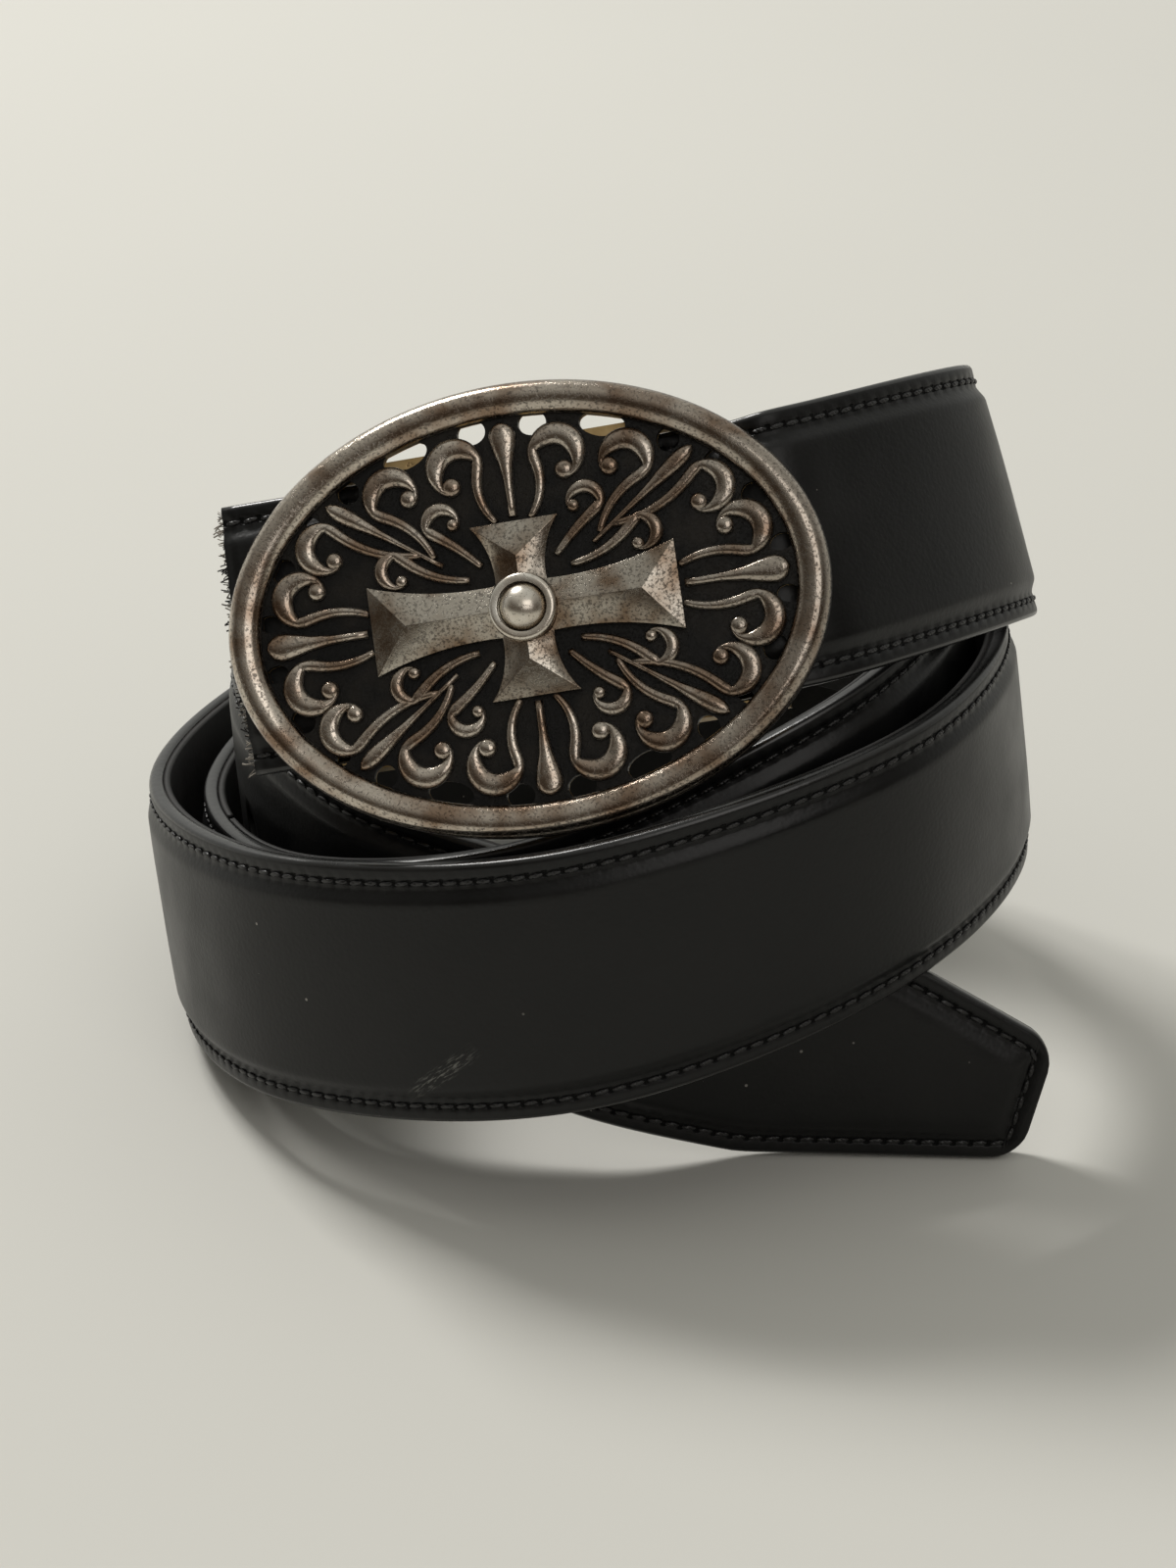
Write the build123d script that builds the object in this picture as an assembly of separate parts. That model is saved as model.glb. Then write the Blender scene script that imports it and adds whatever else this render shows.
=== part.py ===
"""A leather belt, rolled into a standing coil, with an oval openwork plate buckle.

Units are millimetres, +Z is up and the coil stands on the plane Z = 0.
The strap is wound clockwise seen from above, from the tail tip outwards,
and its last straight run climbs over the coil and carries the buckle.
"""
from build123d import *
from math import atan2, cos, degrees, radians, sin, sqrt, tan
import os

# ---------------------------------------------------------------- strap sizes
strap_width = 38.0          # edge to edge
face_thickness = 1.2        # smooth face leather over the padding
filler_thickness = 1.8      # padding strip under the face
lining_thickness = 1.0      # smooth lining
glue_line = 0.1             # between the bonded layers
edge_margin = 3.2           # flat border from the edge to the foot of the padding
edge_thickness = 2.2        # face leather turned over at the border
edge_bevel = 0.4            # broken outer edge of the border
lining_inset = 0.4          # lining trimmed back from the edge
pad_slope = 1.5             # run of the padding's shoulder
thread_width = 0.7
thread_height = 0.35
thread_inset = 2.5          # edge to the middle of the stitch line
thread_gap = 0.02           # thread to the border that it lies on
tip_length = 42.0           # tapered part of the tail
tip_angle = 15.2            # taper of each side of the tail
tip_soft = 6.0              # how gently the taper starts
hole_diameter = 4.2         # punched holes in the tail
hole_count = 5
hole_pitch = 25.0
first_hole = 105.0          # tail tip to the first hole

# ------------------------------------------------------------- lie of the coil
mandrel_radius = 46.0       # middle of the strap on the innermost turn
coil_axis = (-2.0, -2.8)     # where the coil's axis stands on the floor
# One row per eighth of a turn, from the front of the first turn, clockwise.
# slack: how far the lay stands out from a tight roll of touching turns
# tier:  how many strap widths of other turns lie under this one
# lift:  lower edge above that tier, lean: top edge outwards, in degrees
LAY = [
    # slack tier  lift   lean
    (0.4, 0.00, 8.6, 0.0),
    (1.1, 0.00, 16.3, 2.0),
    (2.0, 0.00, 21.5, 4.0),
    (3.4, 0.00, 26.0, 3.0),
    (5.9, 0.00, 31.5, -1.0),
    (7.9, 0.50, 17.5, -6.0),
    (9.4, 0.85, 6.2, -10.0),
    (9.9, 0.90, 0.4, -10.0),
    (3.0, 0.45, 0.1, -3.0),
    (3.1, 0.15, 1.0, 3.5),
    (2.4, 0.00, 0.80, 5.5),
    (4.7, 0.00, 0.68, 6.5),
    (8.7, 0.10, 1.4, 5.0),
    (11.7, 0.40, 2.5, -5.0),
    (12.1, 0.75, 0.6, -8.0),
    (12.6, 0.80, 0.0, -3.0),
    (9.6, 0.45, 2.6, -5.0),
    (6.1, 0.15, 3.5, -2.0),
    (6.3, 0.00, 1.8, 6.5),
    (9.5, 0.00, 0.80, 8.0),
    (12.5, 0.25, 3.5, 8.0),
    (12.9, 0.80, 10.0, -2.5),
    (4.4, 1.50, 9.5, -19.0),
    (-8.2, 1.70, 8.5, -29.5),
]
tail_run = 67.0             # straight tail past the first row
tail_turn_in = 1.5          # how far the tip lies in behind that row
tail_belly_in = 2.4         # the same, halfway along the tail
tail_tip_lift = -0.27       # lowest point of the tip's lower corner
tail_lean = -11.0
run_length = 73.7           # straight run that the buckle clamps
run_start = (25.4, -38.56, 90.55)
run_yaw = 4.6               # swings back towards the left end
run_fall = 11.7             # falls towards the left end
run_lean = 29.0             # leans back

# --------------------------------------------------------------- buckle sizes
plate_length = 84.0
plate_height = 62.4
rim_width = 4.6
rim_height = 3.6
rim_round = 1.5
ground_thickness = 1.3
relief_height = 1.0         # scrolls above the ground
stem_width = 1.5            # of a scroll's stem where it meets its curl
eye_share = 0.33            # radius of the eye, as a share of its curl's
curl_swell = 0.50           # how far a curl's hollow lies off its middle, as a share
lead_angle = 40.0           # the stem's width carries on this far round the curl
bud_half = 1.9              # half the width of a bud at its widest, at the arm ends
slim_bud_half = 1.2         # the same for the buds on the diagonals
bud_root = 1.0              # width of a bud where it starts
bud_start = 0.4             # where a corner bud starts, as a share of the way out
bud_clearance = 0.8         # bud to the cross and to the rim
window_inset = 1.2          # middle of a window inside the rim's inner wall
window_depth = 3.4          # across the ground, at right angles to the rim
# Windows of one quarter: place round the oval in degrees, length along the rim.
WINDOWS = [(8.0, 2.4), (24.3, 3.6), (39.5, 1.8), (51.5, 3.2), (67.5, 6.5), (83.2, 4.0)]
plate_drop = 2.5            # plate centre below the middle of the strap
plate_from_start = 32.2     # plate centre along the straight run
plate_gap = 0.95             # strap to the back of the plate
cross_length = 43.0
cross_height = 24.2
cross_waist = 7.2
cross_flare = 12.4
cross_base = 1.0
cross_roof = 1.6            # ridge of the arms above their walls
hip_length = 5.0            # sloping end of each arm
boss_ring_diameter = 9.4
boss_dome_diameter = 6.8
ring_height = 1.1
dome_height = 2.6
cross_hollow = 0.9          # how far the arms' sides bow in
boss_seat = 1.3             # flat for the boss, above the arms' walls
diagonal = 35.5             # angle of the four corner sprays
rivet_diameter = 3.0
rivet_set_back = 0.1        # closed end of the rivet inside the plate's back
ring_round = 0.66
relief_gap = 0.15           # scrolls to the foot of the cross
fit_gap = 0.05              # radial running clearance, pins and rivets
seat_gap = 0.05             # between stacked parts of the buckle

# ---------------------------------------------------------------- clamp sizes
rail_thickness = 1.4
rail_side_gap = 0.5         # rail to the edge of the strap
rail_foot = 2.0             # overlap of a rail's end on the rim
rail_depth = 5.3            # guide wall behind the plate
ear_width = 6.4
pin_diameter = 2.0
pin_overhang = 0.3          # pin standing out of each ear
pin_from_centre = 13.0      # along the strap, towards its body
knuckle_diameter = 4.4
knuckle_gap = 0.4           # knuckle to the lining
flap_thickness = 1.3
flap_length = 27.0
flap_side_gap = 0.4
flap_corner = 4.0
lip_from_end = 2.0          # lip across the flap's free end, for a finger nail
lip_height = 1.6
lip_thickness = 1.6
tooth_count = 9
tooth_gap = 0.15            # tips of the teeth to the lining
tooth_thickness = 1.4
tooth_foot = 0.8            # width of a tooth's foot, as a share of the pitch
tooth_from_pin = 1.9        # far side of the teeth
tooth_margin = 2.0          # plain stretch at each end of the row of teeth
hook_from_pin = 15.0
hook_post_diameter = 2.8
hook_ball_diameter = 3.8
hook_flange_diameter = 5.6
hook_flange_thickness = 0.8
hook_length = 6.0

STAND = (Align.CENTER, Align.CENTER, Align.MIN)
HANG = (Align.CENTER, Align.CENTER, Align.MAX)

half_width = strap_width / 2
strap_thickness = lining_thickness + glue_line + filler_thickness + glue_line + face_thickness
lining_inner = -strap_thickness / 2
lining_outer = lining_inner + lining_thickness
face_inner = lining_outer + glue_line
pad_inner = face_inner + filler_thickness + glue_line
pad_outer = pad_inner + face_thickness
edge_outer = face_inner + edge_thickness


# ------------------------------------------------------------------- the route
def lay_rows():
    """Middle of the strap at each row: (x, y, z, lean)."""
    rows = []
    for index, (slack, tier, lift, lean) in enumerate(LAY):
        angle = radians(-90 - 45 * index)
        radius = mandrel_radius + strap_thickness * index / 8 + slack
        height = lift + (tier + 0.5) * strap_width
        rows.append((radius * cos(angle), radius * sin(angle), height, lean))
    first_x, first_y, first_z, _ = rows[0]
    tip_half = half_width - tip_cut(0)
    tip_z = tail_tip_lift + tip_half
    middle_z = (first_z + tip_z) / 2
    tail = [
        (first_x + tail_run, first_y + tail_turn_in, tip_z, tail_lean),
        (first_x + tail_run / 2, first_y + tail_belly_in, middle_z, tail_lean * 0.6),
    ]
    ahead = run_direction()
    run = []
    for share, lean_share in ((0.1, 1.0), (0.45, 1.0), (0.8, 1.0), (1.0, 1.0)):
        step = run_length * share
        place = [run_start[axis] + ahead[axis] * step for axis in range(3)]
        run.append((*place, -run_lean * lean_share))
    return tail + rows + run


def run_direction():
    yaw = radians(run_yaw)
    fall = radians(run_fall)
    return (-cos(fall) * cos(yaw), cos(fall) * sin(yaw), -sin(fall))


def blend(before, start, end, after, share):
    """Smooth curve from start to end that also heeds the rows outside them."""
    linear = end - before
    square = 2 * before - 5 * start + 4 * end - after
    cube = 3 * (start - end) + after - before
    return start + 0.5 * share * (linear + share * (square + share * cube))


def tip_cut(distance):
    """How much the taper takes off each edge at this distance from the tip."""
    inside = max(0.0, tip_length - distance)
    return tan(radians(tip_angle)) * inside * inside / (inside + tip_soft)


def route(steps):
    """Frames along the strap: place, way up across the width, way out, distance."""
    rows = lay_rows()
    lead = tuple(2 * a - b for a, b in zip(rows[0], rows[1]))
    trail = tuple(2 * a - b for a, b in zip(rows[-1], rows[-2]))
    rows = [lead] + rows + [trail]
    points = []
    for index in range(1, len(rows) - 2):
        near = rows[index - 1:index + 3]
        for step in range(steps):
            points.append([blend(*(row[axis] for row in near), step / steps) for axis in range(4)])
    points.append(list(rows[-2]))
    frames = []
    distance = 0.0
    for index, (x, y, z, lean) in enumerate(points):
        before = points[max(index - 1, 0)]
        after = points[min(index + 1, len(points) - 1)]
        ahead = Vector(*(b - a for a, b in zip(before[:3], after[:3]))).normalized()
        level_out = Vector(-ahead.Y, ahead.X, 0).normalized()
        upright = ahead.cross(level_out)
        if upright.Z < 0:
            upright = upright * -1
        tilt = radians(lean)
        across = upright * cos(tilt) + level_out * sin(tilt)
        outward = level_out * cos(tilt) - upright * sin(tilt)
        if index:
            distance += sqrt(sum((a - b) ** 2 for a, b in zip(points[index][:3], points[index - 1][:3])))
        place = Vector(x + coil_axis[0], y + coil_axis[1], z)
        frames.append((place, across, outward, distance))
    return frames


ROUTE_STEPS = 3
FRAMES = route(ROUTE_STEPS)


# ------------------------------------------------------------------- the strap
def strap_solid(profile):
    """Solid along the whole strap from a closed profile of (across, out) corners."""
    rails = [rail_points(*corner) for corner in profile]
    faces = []
    for first in range(0, len(FRAMES) - 1, ROUTE_STEPS):
        last = first + ROUTE_STEPS
        spans = [span(rail, first, last) for rail in rails]
        for index, edge in enumerate(spans):
            faces.append(Face.make_surface_from_curves(edge, spans[(index + 1) % len(spans)]))
    for end in (0, -1):
        faces.append(Face(Wire.make_polygon([rail[end] for rail in rails], close=True)))
    return positive(Solid(Shell(faces)))


def rail_points(across_at, out_at):
    """Where one corner of the profile passes through every frame."""
    side = 1 if across_at > 0 else -1
    points = []
    for place, across, outward, distance in FRAMES:
        reach = across_at - side * tip_cut(distance)
        points.append(place + across * reach + outward * out_at)
    return points


def span(points, first, last):
    """Smooth edge through some of a rail's points, tangent to its neighbours."""
    ends = []
    for index in (first, last):
        before = points[max(index - 1, 0)]
        after = points[min(index + 1, len(points) - 1)]
        ends.append((after - before).normalized())
    return Edge.make_spline(points[first:last + 1], tangents=ends)


def positive(solid):
    """The same solid with its faces pointing outwards."""
    if solid.volume < 0:
        return Solid(solid.wrapped.Reversed())
    return solid


def mirrored(profile):
    """Complete a half profile (across > 0) with its mirror image."""
    return profile + [(-across, out) for across, out in reversed(profile)]


def face_leather():
    """Outer leather: padded middle, flat turned-over borders."""
    foot = half_width - edge_margin
    shoulder = foot - pad_slope
    return strap_solid(mirrored([
        (shoulder, pad_outer),
        (foot, edge_outer),
        (half_width - edge_bevel, edge_outer),
        (half_width, edge_outer - edge_bevel),
        (half_width, face_inner),
        (foot - face_thickness, face_inner),
        (shoulder - face_thickness, pad_inner),
    ]))


def filler():
    """Padding strip between the face leather and the lining."""
    foot = half_width - edge_margin - face_thickness - glue_line
    shoulder = foot - pad_slope
    return strap_solid(mirrored([
        (shoulder, face_inner + filler_thickness),
        (foot, face_inner),
    ]))


def lining():
    reach = half_width - lining_inset
    return strap_solid(mirrored([(reach, lining_outer), (reach, lining_inner)]))


def stitching():
    """The two lines of lockstitch, as a low cord along each border."""
    middle = half_width - thread_inset
    low = edge_outer + thread_gap
    high = low + thread_height
    near = middle - thread_width / 2
    far = middle + thread_width / 2
    outline = [(near, low), (near, high), (far, high), (far, low)]
    other = [(-across, out) for across, out in outline]
    return Compound([strap_solid(outline), strap_solid(other)])


def tail_holes(solid):
    """Punch the row of holes near the tail."""
    for index in range(hole_count):
        wanted = first_hole + hole_pitch * index
        place, across, outward, _ = frame_at(wanted)
        plane = Plane(place, x_dir=across, z_dir=outward)
        depth = strap_thickness + 2 * glue_line
        drill = Solid.make_cylinder(hole_diameter / 2, depth, plane)
        drill = drill.moved(Location(outward * (-depth / 2)))
        solid = solid - drill
    return solid


def frame_at(wanted):
    """The frame at a distance from the tail tip."""
    for before, after in zip(FRAMES, FRAMES[1:]):
        if after[3] >= wanted:
            share = (wanted - before[3]) / (after[3] - before[3])
            place = before[0] + (after[0] - before[0]) * share
            return place, before[1], before[2], wanted
    return FRAMES[-1]


# ------------------------------------------------------------------ the buckle
def plate_plane():
    """Plane on the back of the plate: X along the strap's body, Y up, Z to the front."""
    _, across, outward, _ = FRAMES[-1]
    ahead = Vector(*run_direction())
    start = Vector(*run_start) + Vector(*coil_axis, 0)
    middle = start + ahead * plate_from_start - across * plate_drop
    back = middle + outward * (strap_thickness / 2 + plate_gap)
    return Plane(back, x_dir=ahead * -1, z_dir=outward)


def oval(length, height, thickness, bottom=0.0):
    return extrude(Plane.XY.offset(bottom) * Ellipse(length / 2, height / 2), thickness)


def scroll(centre, radius, start, sweep, root):
    """A curl as a crescent with an eye at its inner end, and a stem to its root.

    The crescent is thickest in the middle of the sweep and thins to both ends.
    """
    offset = curl_swell * radius
    half_gap = radians(180 - abs(sweep) / 2)
    hollow = sqrt(offset ** 2 + radius ** 2 - 2 * offset * radius * cos(half_gap))
    towards_gap = polar(offset, start + sweep / 2 + 180)
    crescent = Pos(*centre) * (Circle(radius) - Pos(*towards_gap) * Circle(hollow))
    eye_place = polar(radius - eye_share * radius, start + sweep)
    eye = Pos(centre[0] + eye_place[0], centre[1] + eye_place[1]) * Circle(eye_share * radius)
    lead_in = lead_angle if sweep > 0 else -lead_angle
    outer = CenterArc(centre, radius, start, lead_in)
    inner = CenterArc(centre, radius - stem_width, start, lead_in)
    lead = make_face([outer, inner, Line(outer @ 0, inner @ 0), Line(outer @ 1, inner @ 1)])
    foot = CenterArc(centre, radius - stem_width / 2, start, sweep)
    stem = TangentArc(foot @ 0, root, tangent=(foot % 0) * -1)
    return [crescent, eye, lead, stem_face(stem)]


def stem_face(line):
    """Tapered ribbon along an arc: full width at its start, narrow at its root."""
    near = []
    far = []
    for share, half in ((0.0, stem_width / 2), (0.5, stem_width * 0.42), (1.0, stem_width * 0.3)):
        place = line @ share
        ahead = line % share
        side = Vector(-ahead.Y, ahead.X) * half
        near.append(tuple(place + side)[:2])
        far.append(tuple(place - side)[:2])
    outline = [
        ThreePointArc(*near),
        Line(near[2], far[2]),
        ThreePointArc(far[2], far[1], far[0]),
        Line(far[0], near[0]),
    ]
    return make_face(outline)


def scrolls():
    """Every scroll of the openwork, mirrored into the four quarters."""
    half_x = plate_length / 2 - rim_width
    half_y = plate_height / 2 - rim_width
    arm_end = (cross_length / 2 + 0.2, 2.6)
    top_end = (2.4, cross_height / 2 + 0.2)
    quarter = [
        ((0.834 * half_x, 0.233 * half_y), 4.0, -110, 275, arm_end),
        ((0.192 * half_x, 0.780 * half_y), 4.1, 200, -275, top_end),
        ((0.727 * half_x, 0.474 * half_y), 3.8, 140, -270, (0.36 * half_x, 0.36 * half_y)),
        ((0.444 * half_x, 0.692 * half_y), 4.0, -70, 270, (0.31 * half_x, 0.33 * half_y)),
        ((0.468 * half_x, 0.301 * half_y), 2.8, 140, -260, (0.19 * half_x, 0.19 * half_y)),
        ((0.273 * half_x, 0.511 * half_y), 2.8, -60, 260, (0.14 * half_x, 0.25 * half_y)),
    ]
    found = []
    for centre, radius, start, sweep, root in quarter:
        for flip_x in (1, -1):
            for flip_y in (1, -1):
                turned = start if flip_x > 0 else 180 - start
                found.append((
                    (centre[0] * flip_x, centre[1] * flip_y),
                    radius,
                    turned * flip_y,
                    sweep * flip_x * flip_y,
                    (root[0] * flip_x, root[1] * flip_y),
                ))
    return found


def buds():
    """The bud on each ray: angle, where it starts, where it ends, half width."""
    half_x = plate_length / 2 - rim_width
    half_y = plate_height / 2 - rim_width
    ray = radians(diagonal)
    corner = 1 / sqrt((cos(ray) / half_x) ** 2 + (sin(ray) / half_y) ** 2)
    found = []
    for angle in (diagonal, 180 - diagonal, 180 + diagonal, 360 - diagonal):
        found.append((angle, bud_start * corner, corner - bud_clearance, slim_bud_half))
    for angle in (0, 180):
        found.append((angle, cross_length / 2 + bud_clearance, half_x - bud_clearance, bud_half))
    for angle in (90, 270):
        found.append((angle, cross_height / 2 + bud_clearance, half_y - bud_clearance, bud_half))
    return found


def bud_face(angle, start, end, half):
    """A slim drop that widens towards its rounded outer end."""
    widest = end - half * 2.2
    base_right = aside(angle, start, -bud_root / 2)
    base_left = aside(angle, start, bud_root / 2)
    left = aside(angle, widest, half)
    right = aside(angle, widest, -half)
    outer = polar(end, angle)
    left_bow = aside(angle, widest + half * 1.5, half * 0.72)
    right_bow = aside(angle, widest + half * 1.5, -half * 0.72)
    outline = [
        Line(base_right, base_left),
        Line(base_left, left),
        ThreePointArc(left, left_bow, outer),
        ThreePointArc(outer, right_bow, right),
        Line(right, base_right),
    ]
    return make_face(outline)


def aside(angle, distance, sideways):
    """Point at a distance along a ray and a distance to its left."""
    along = polar(distance, angle)
    left = polar(sideways, angle + 90)
    return (along[0] + left[0], along[1] + left[1])


def polar(distance, angle):
    return (distance * cos(radians(angle)), distance * sin(radians(angle)))


def scrollwork():
    """The scrolls and buds as one flat shape."""
    shapes = []
    for centre, radius, start, sweep, root in scrolls():
        shapes += scroll(centre, radius, start, sweep, root)
    for angle, start, end, half in buds():
        shapes.append(bud_face(angle, start, end, half))
    return shapes[0].fuse(*shapes[1:])


def windows():
    """The piercings of the ground, which open against the rim in each quarter."""
    ring_x = plate_length / 2 - rim_width - window_inset
    ring_y = plate_height / 2 - rim_width - window_inset
    cutters = []
    for turn, length in WINDOWS:
        for at in (turn, 180 - turn, 180 + turn, 360 - turn):
            x = ring_x * cos(radians(at))
            y = ring_y * sin(radians(at))
            slope = degrees(atan2(ring_y * cos(radians(at)), -ring_x * sin(radians(at))))
            window = Pos(x, y) * Rot(0, 0, slope) * Ellipse(length / 2, window_depth / 2)
            cutters.append(extrude(window, ground_thickness))
    return cutters


def cross_face(grow=0.0):
    """Outline of the cross: flared arms with straight ends and hollow sides."""
    reach_x = cross_length / 2 + grow
    reach_y = cross_height / 2 + grow
    flare = cross_flare / 2 + grow
    waist = cross_waist / 2 + grow
    corners = [
        (reach_x, -flare), (reach_x, flare), (waist, waist), (flare, reach_y),
        (-flare, reach_y), (-waist, waist), (-reach_x, flare), (-reach_x, -flare),
        (-waist, -waist), (-flare, -reach_y), (flare, -reach_y), (waist, -waist),
    ]
    outline = []
    for index, corner in enumerate(corners):
        after = corners[(index + 1) % len(corners)]
        if index % 3 == 0:
            outline.append(Line(corner, after))
        else:
            outline.append(hollow_side(corner, after))
    return make_face(outline)


def hollow_side(start, end):
    """Arc between two corners that bows in towards the middle of its arm."""
    middle_x = (start[0] + end[0]) / 2
    middle_y = (start[1] + end[1]) / 2
    if abs(middle_x) > abs(middle_y):
        middle_y -= cross_hollow if middle_y > 0 else -cross_hollow
    else:
        middle_x -= cross_hollow if middle_x > 0 else -cross_hollow
    return ThreePointArc(start, (middle_x, middle_y), end)


def buckle_casting():
    """Rim, dark openwork ground and raised scrolls, cast in one piece."""
    rim = oval(plate_length, plate_height, rim_height)
    rim -= oval(plate_length - 2 * rim_width, plate_height - 2 * rim_width, rim_height)
    rim = fillet(rim.edges().group_by(Axis.Z)[-1], rim_round)
    ground = oval(plate_length - rim_width, plate_height - rim_width, ground_thickness)
    ground -= windows()
    relief = scrollwork() - cross_face(relief_gap)
    relief = extrude(Plane.XY.offset(ground_thickness) * relief, relief_height)
    relief = relief & oval(plate_length - rim_width, plate_height - rim_width, rim_height)
    casting = rim + ground + relief
    bore = Cylinder(rivet_diameter / 2 + fit_gap, 4 * rim_height)
    return casting - bore


def cross():
    """Cross with a hipped roof on each arm, seated on the ground."""
    bottom = ground_thickness + seat_gap
    body = extrude(Plane.XY.offset(bottom) * cross_face(), cross_base)
    roof = Pos(0, 0, bottom + cross_base) * hipped_roof()
    seat_height = cross_base + boss_seat
    pad = Pos(0, 0, bottom) * Cylinder(boss_ring_diameter / 2, seat_height, align=STAND)
    seat_radius = boss_ring_diameter / 2 + fit_gap
    over = Pos(0, 0, bottom + seat_height) * Cylinder(seat_radius, cross_roof, align=STAND)
    return body + roof - over + pad - Cylinder(rivet_diameter / 2 + fit_gap, 4 * rim_height)


def hipped_roof():
    """Ruled faces from the cross's outline up to the ridge of every arm."""
    top = Vector(0, 0, cross_roof)
    faces = [cross_face()]
    for index in range(4):
        long_arm = index % 2 == 0
        reach = cross_length / 2 if long_arm else cross_height / 2
        ahead = Vector(cos(radians(90 * index)), sin(radians(90 * index)))
        left = Vector(-ahead.Y, ahead.X)
        hip = ahead * (reach - hip_length) + top
        corners = [ahead * reach + left * (side * cross_flare / 2) for side in (-1, 1)]
        for side, corner in zip((-1, 1), corners):
            waist = (ahead + left * side) * (cross_waist / 2)
            edge = hollow_side(tuple(waist)[:2], tuple(corner)[:2]).edge()
            faces.append(Face.make_surface_from_curves(edge, Edge.make_line(top, hip)))
        faces.append(Face(Wire.make_polygon([corners[0], corners[1], hip], close=True)))
    return positive(Solid(Shell(faces)))


def boss_ring():
    bottom = ground_thickness + cross_base + boss_seat + 2 * seat_gap
    ring = Pos(0, 0, bottom) * Cylinder(boss_ring_diameter / 2, ring_height, align=STAND)
    ring = fillet(ring.edges().group_by(Axis.Z)[-1], ring_round)
    bore = Cylinder(boss_dome_diameter / 2 + seat_gap, 4 * rim_height)
    return ring - bore


def boss_rivet():
    """Domed rivet that holds the ring and the cross to the plate."""
    bottom = ground_thickness + cross_base + boss_seat + 2 * seat_gap
    radius = boss_dome_diameter / 2
    sphere = (radius ** 2 + dome_height ** 2) / (2 * dome_height)
    dome = Pos(0, 0, bottom + dome_height - sphere) * Sphere(sphere)
    dome = dome & Pos(0, 0, bottom) * Cylinder(radius, 2 * dome_height, align=STAND)
    shank = Cylinder(rivet_diameter / 2, bottom - rivet_set_back, align=STAND)
    return dome + Pos(0, 0, rivet_set_back) * shank


# ------------------------------------------------------------------- the clamp
lining_level = -(plate_gap + strap_thickness)
pin_level = lining_level - knuckle_gap - knuckle_diameter / 2
rail_middle = half_width + rail_side_gap + rail_thickness / 2


def clamp_rail(side):
    """Guide wall along one edge of the strap, with the ear that holds the pin."""
    middle = plate_drop + side * rail_middle
    rim_x = plate_length / 2 - rim_width / 2
    rim_y = plate_height / 2 - rim_width / 2
    reach = rim_x * sqrt(1 - (middle / rim_y) ** 2) + rail_foot
    wall = Pos(0, middle, -seat_gap) * Box(2 * reach, rail_thickness, rail_depth, align=HANG)
    drop = -seat_gap - pin_level
    ear = Pos(pin_from_centre, middle, -seat_gap) * Box(ear_width, rail_thickness, drop, align=HANG)
    tip = Pos(pin_from_centre, middle, pin_level) * Rot(90, 0, 0) * Cylinder(ear_width / 2, rail_thickness)
    bore = Rot(90, 0, 0) * Cylinder(pin_diameter / 2 + fit_gap, 4 * rail_thickness)
    bore = Pos(pin_from_centre, middle, pin_level) * bore
    return wall + ear + tip - bore


def flap_pin():
    length = 2 * (rail_middle + rail_thickness / 2 + pin_overhang)
    return Pos(pin_from_centre, plate_drop, pin_level) * Rot(90, 0, 0) * Cylinder(pin_diameter / 2, length)


def clamp_flap():
    """Toothed flap that swings on the pin and bites the lining."""
    width = 2 * (rail_middle - rail_thickness / 2 - flap_side_gap)
    place = Pos(pin_from_centre, plate_drop, pin_level)
    plate = Pos(-flap_length / 2, 0, 0) * Box(flap_length, width, flap_thickness)
    plate = fillet(plate.edges().filter_by(Axis.Z).group_by(Axis.X)[0], flap_corner)
    knuckle = Rot(90, 0, 0) * Cylinder(knuckle_diameter / 2, width)
    lip = Pos(-flap_length + lip_from_end, 0, 0) * Box(lip_thickness, width / 2, lip_height, align=HANG)
    flap = plate + knuckle + lip
    tip = lining_level - tooth_gap - pin_level
    pitch = (width - 2 * tooth_margin) / tooth_count
    for index in range(tooth_count):
        across = (index - (tooth_count - 1) / 2) * pitch
        foot = pitch * tooth_foot / 2
        outline = make_face(Polyline((-foot, 0), (foot, 0), (0, tip), (-foot, 0)))
        tooth = extrude(Plane.YZ.offset(-tooth_from_pin) * outline, tooth_thickness)
        flap += Pos(0, across, 0) * tooth
    flap -= Rot(90, 0, 0) * Cylinder(pin_diameter / 2 + fit_gap, width + 2)
    flap -= Pos(-hook_from_pin, 0, 0) * Cylinder(hook_post_diameter / 2 + fit_gap, 4 * flap_thickness)
    return place * flap


def hook_prong():
    """Ball-ended post for the tail's holes, riveted through the flap."""
    back = pin_level - flap_thickness / 2
    place = Pos(pin_from_centre - hook_from_pin, plate_drop, back)
    flange = Cylinder(hook_flange_diameter / 2, hook_flange_thickness, align=HANG)
    flange = Pos(0, 0, -seat_gap) * flange
    post = Pos(0, 0, flap_thickness) * Cylinder(
        hook_post_diameter / 2, hook_length + flap_thickness, align=HANG)
    ball = Pos(0, 0, -hook_length) * Sphere(hook_ball_diameter / 2)
    return place * (flange + post + ball)


# ----------------------------------------------------------------- all pieces
def write(name, shape):
    os.makedirs("parts", exist_ok=True)
    shape.label = name
    export_step(shape, f"parts/{name}.step")


def build():
    buckle_place = plate_plane().location
    write("face_leather", tail_holes(face_leather()))
    write("padding_strip", tail_holes(filler()))
    write("lining", tail_holes(lining()))
    write("edge_stitching", stitching())
    write("buckle_casting", buckle_place * buckle_casting())
    write("cross", buckle_place * cross())
    write("boss_ring", buckle_place * boss_ring())
    write("boss_rivet", buckle_place * boss_rivet())
    write("clamp_rail_upper", buckle_place * clamp_rail(1))
    write("clamp_rail_lower", buckle_place * clamp_rail(-1))
    write("flap_pin", buckle_place * flap_pin())
    write("clamp_flap", buckle_place * clamp_flap())
    write("hook_prong", buckle_place * hook_prong())


build()
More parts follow.
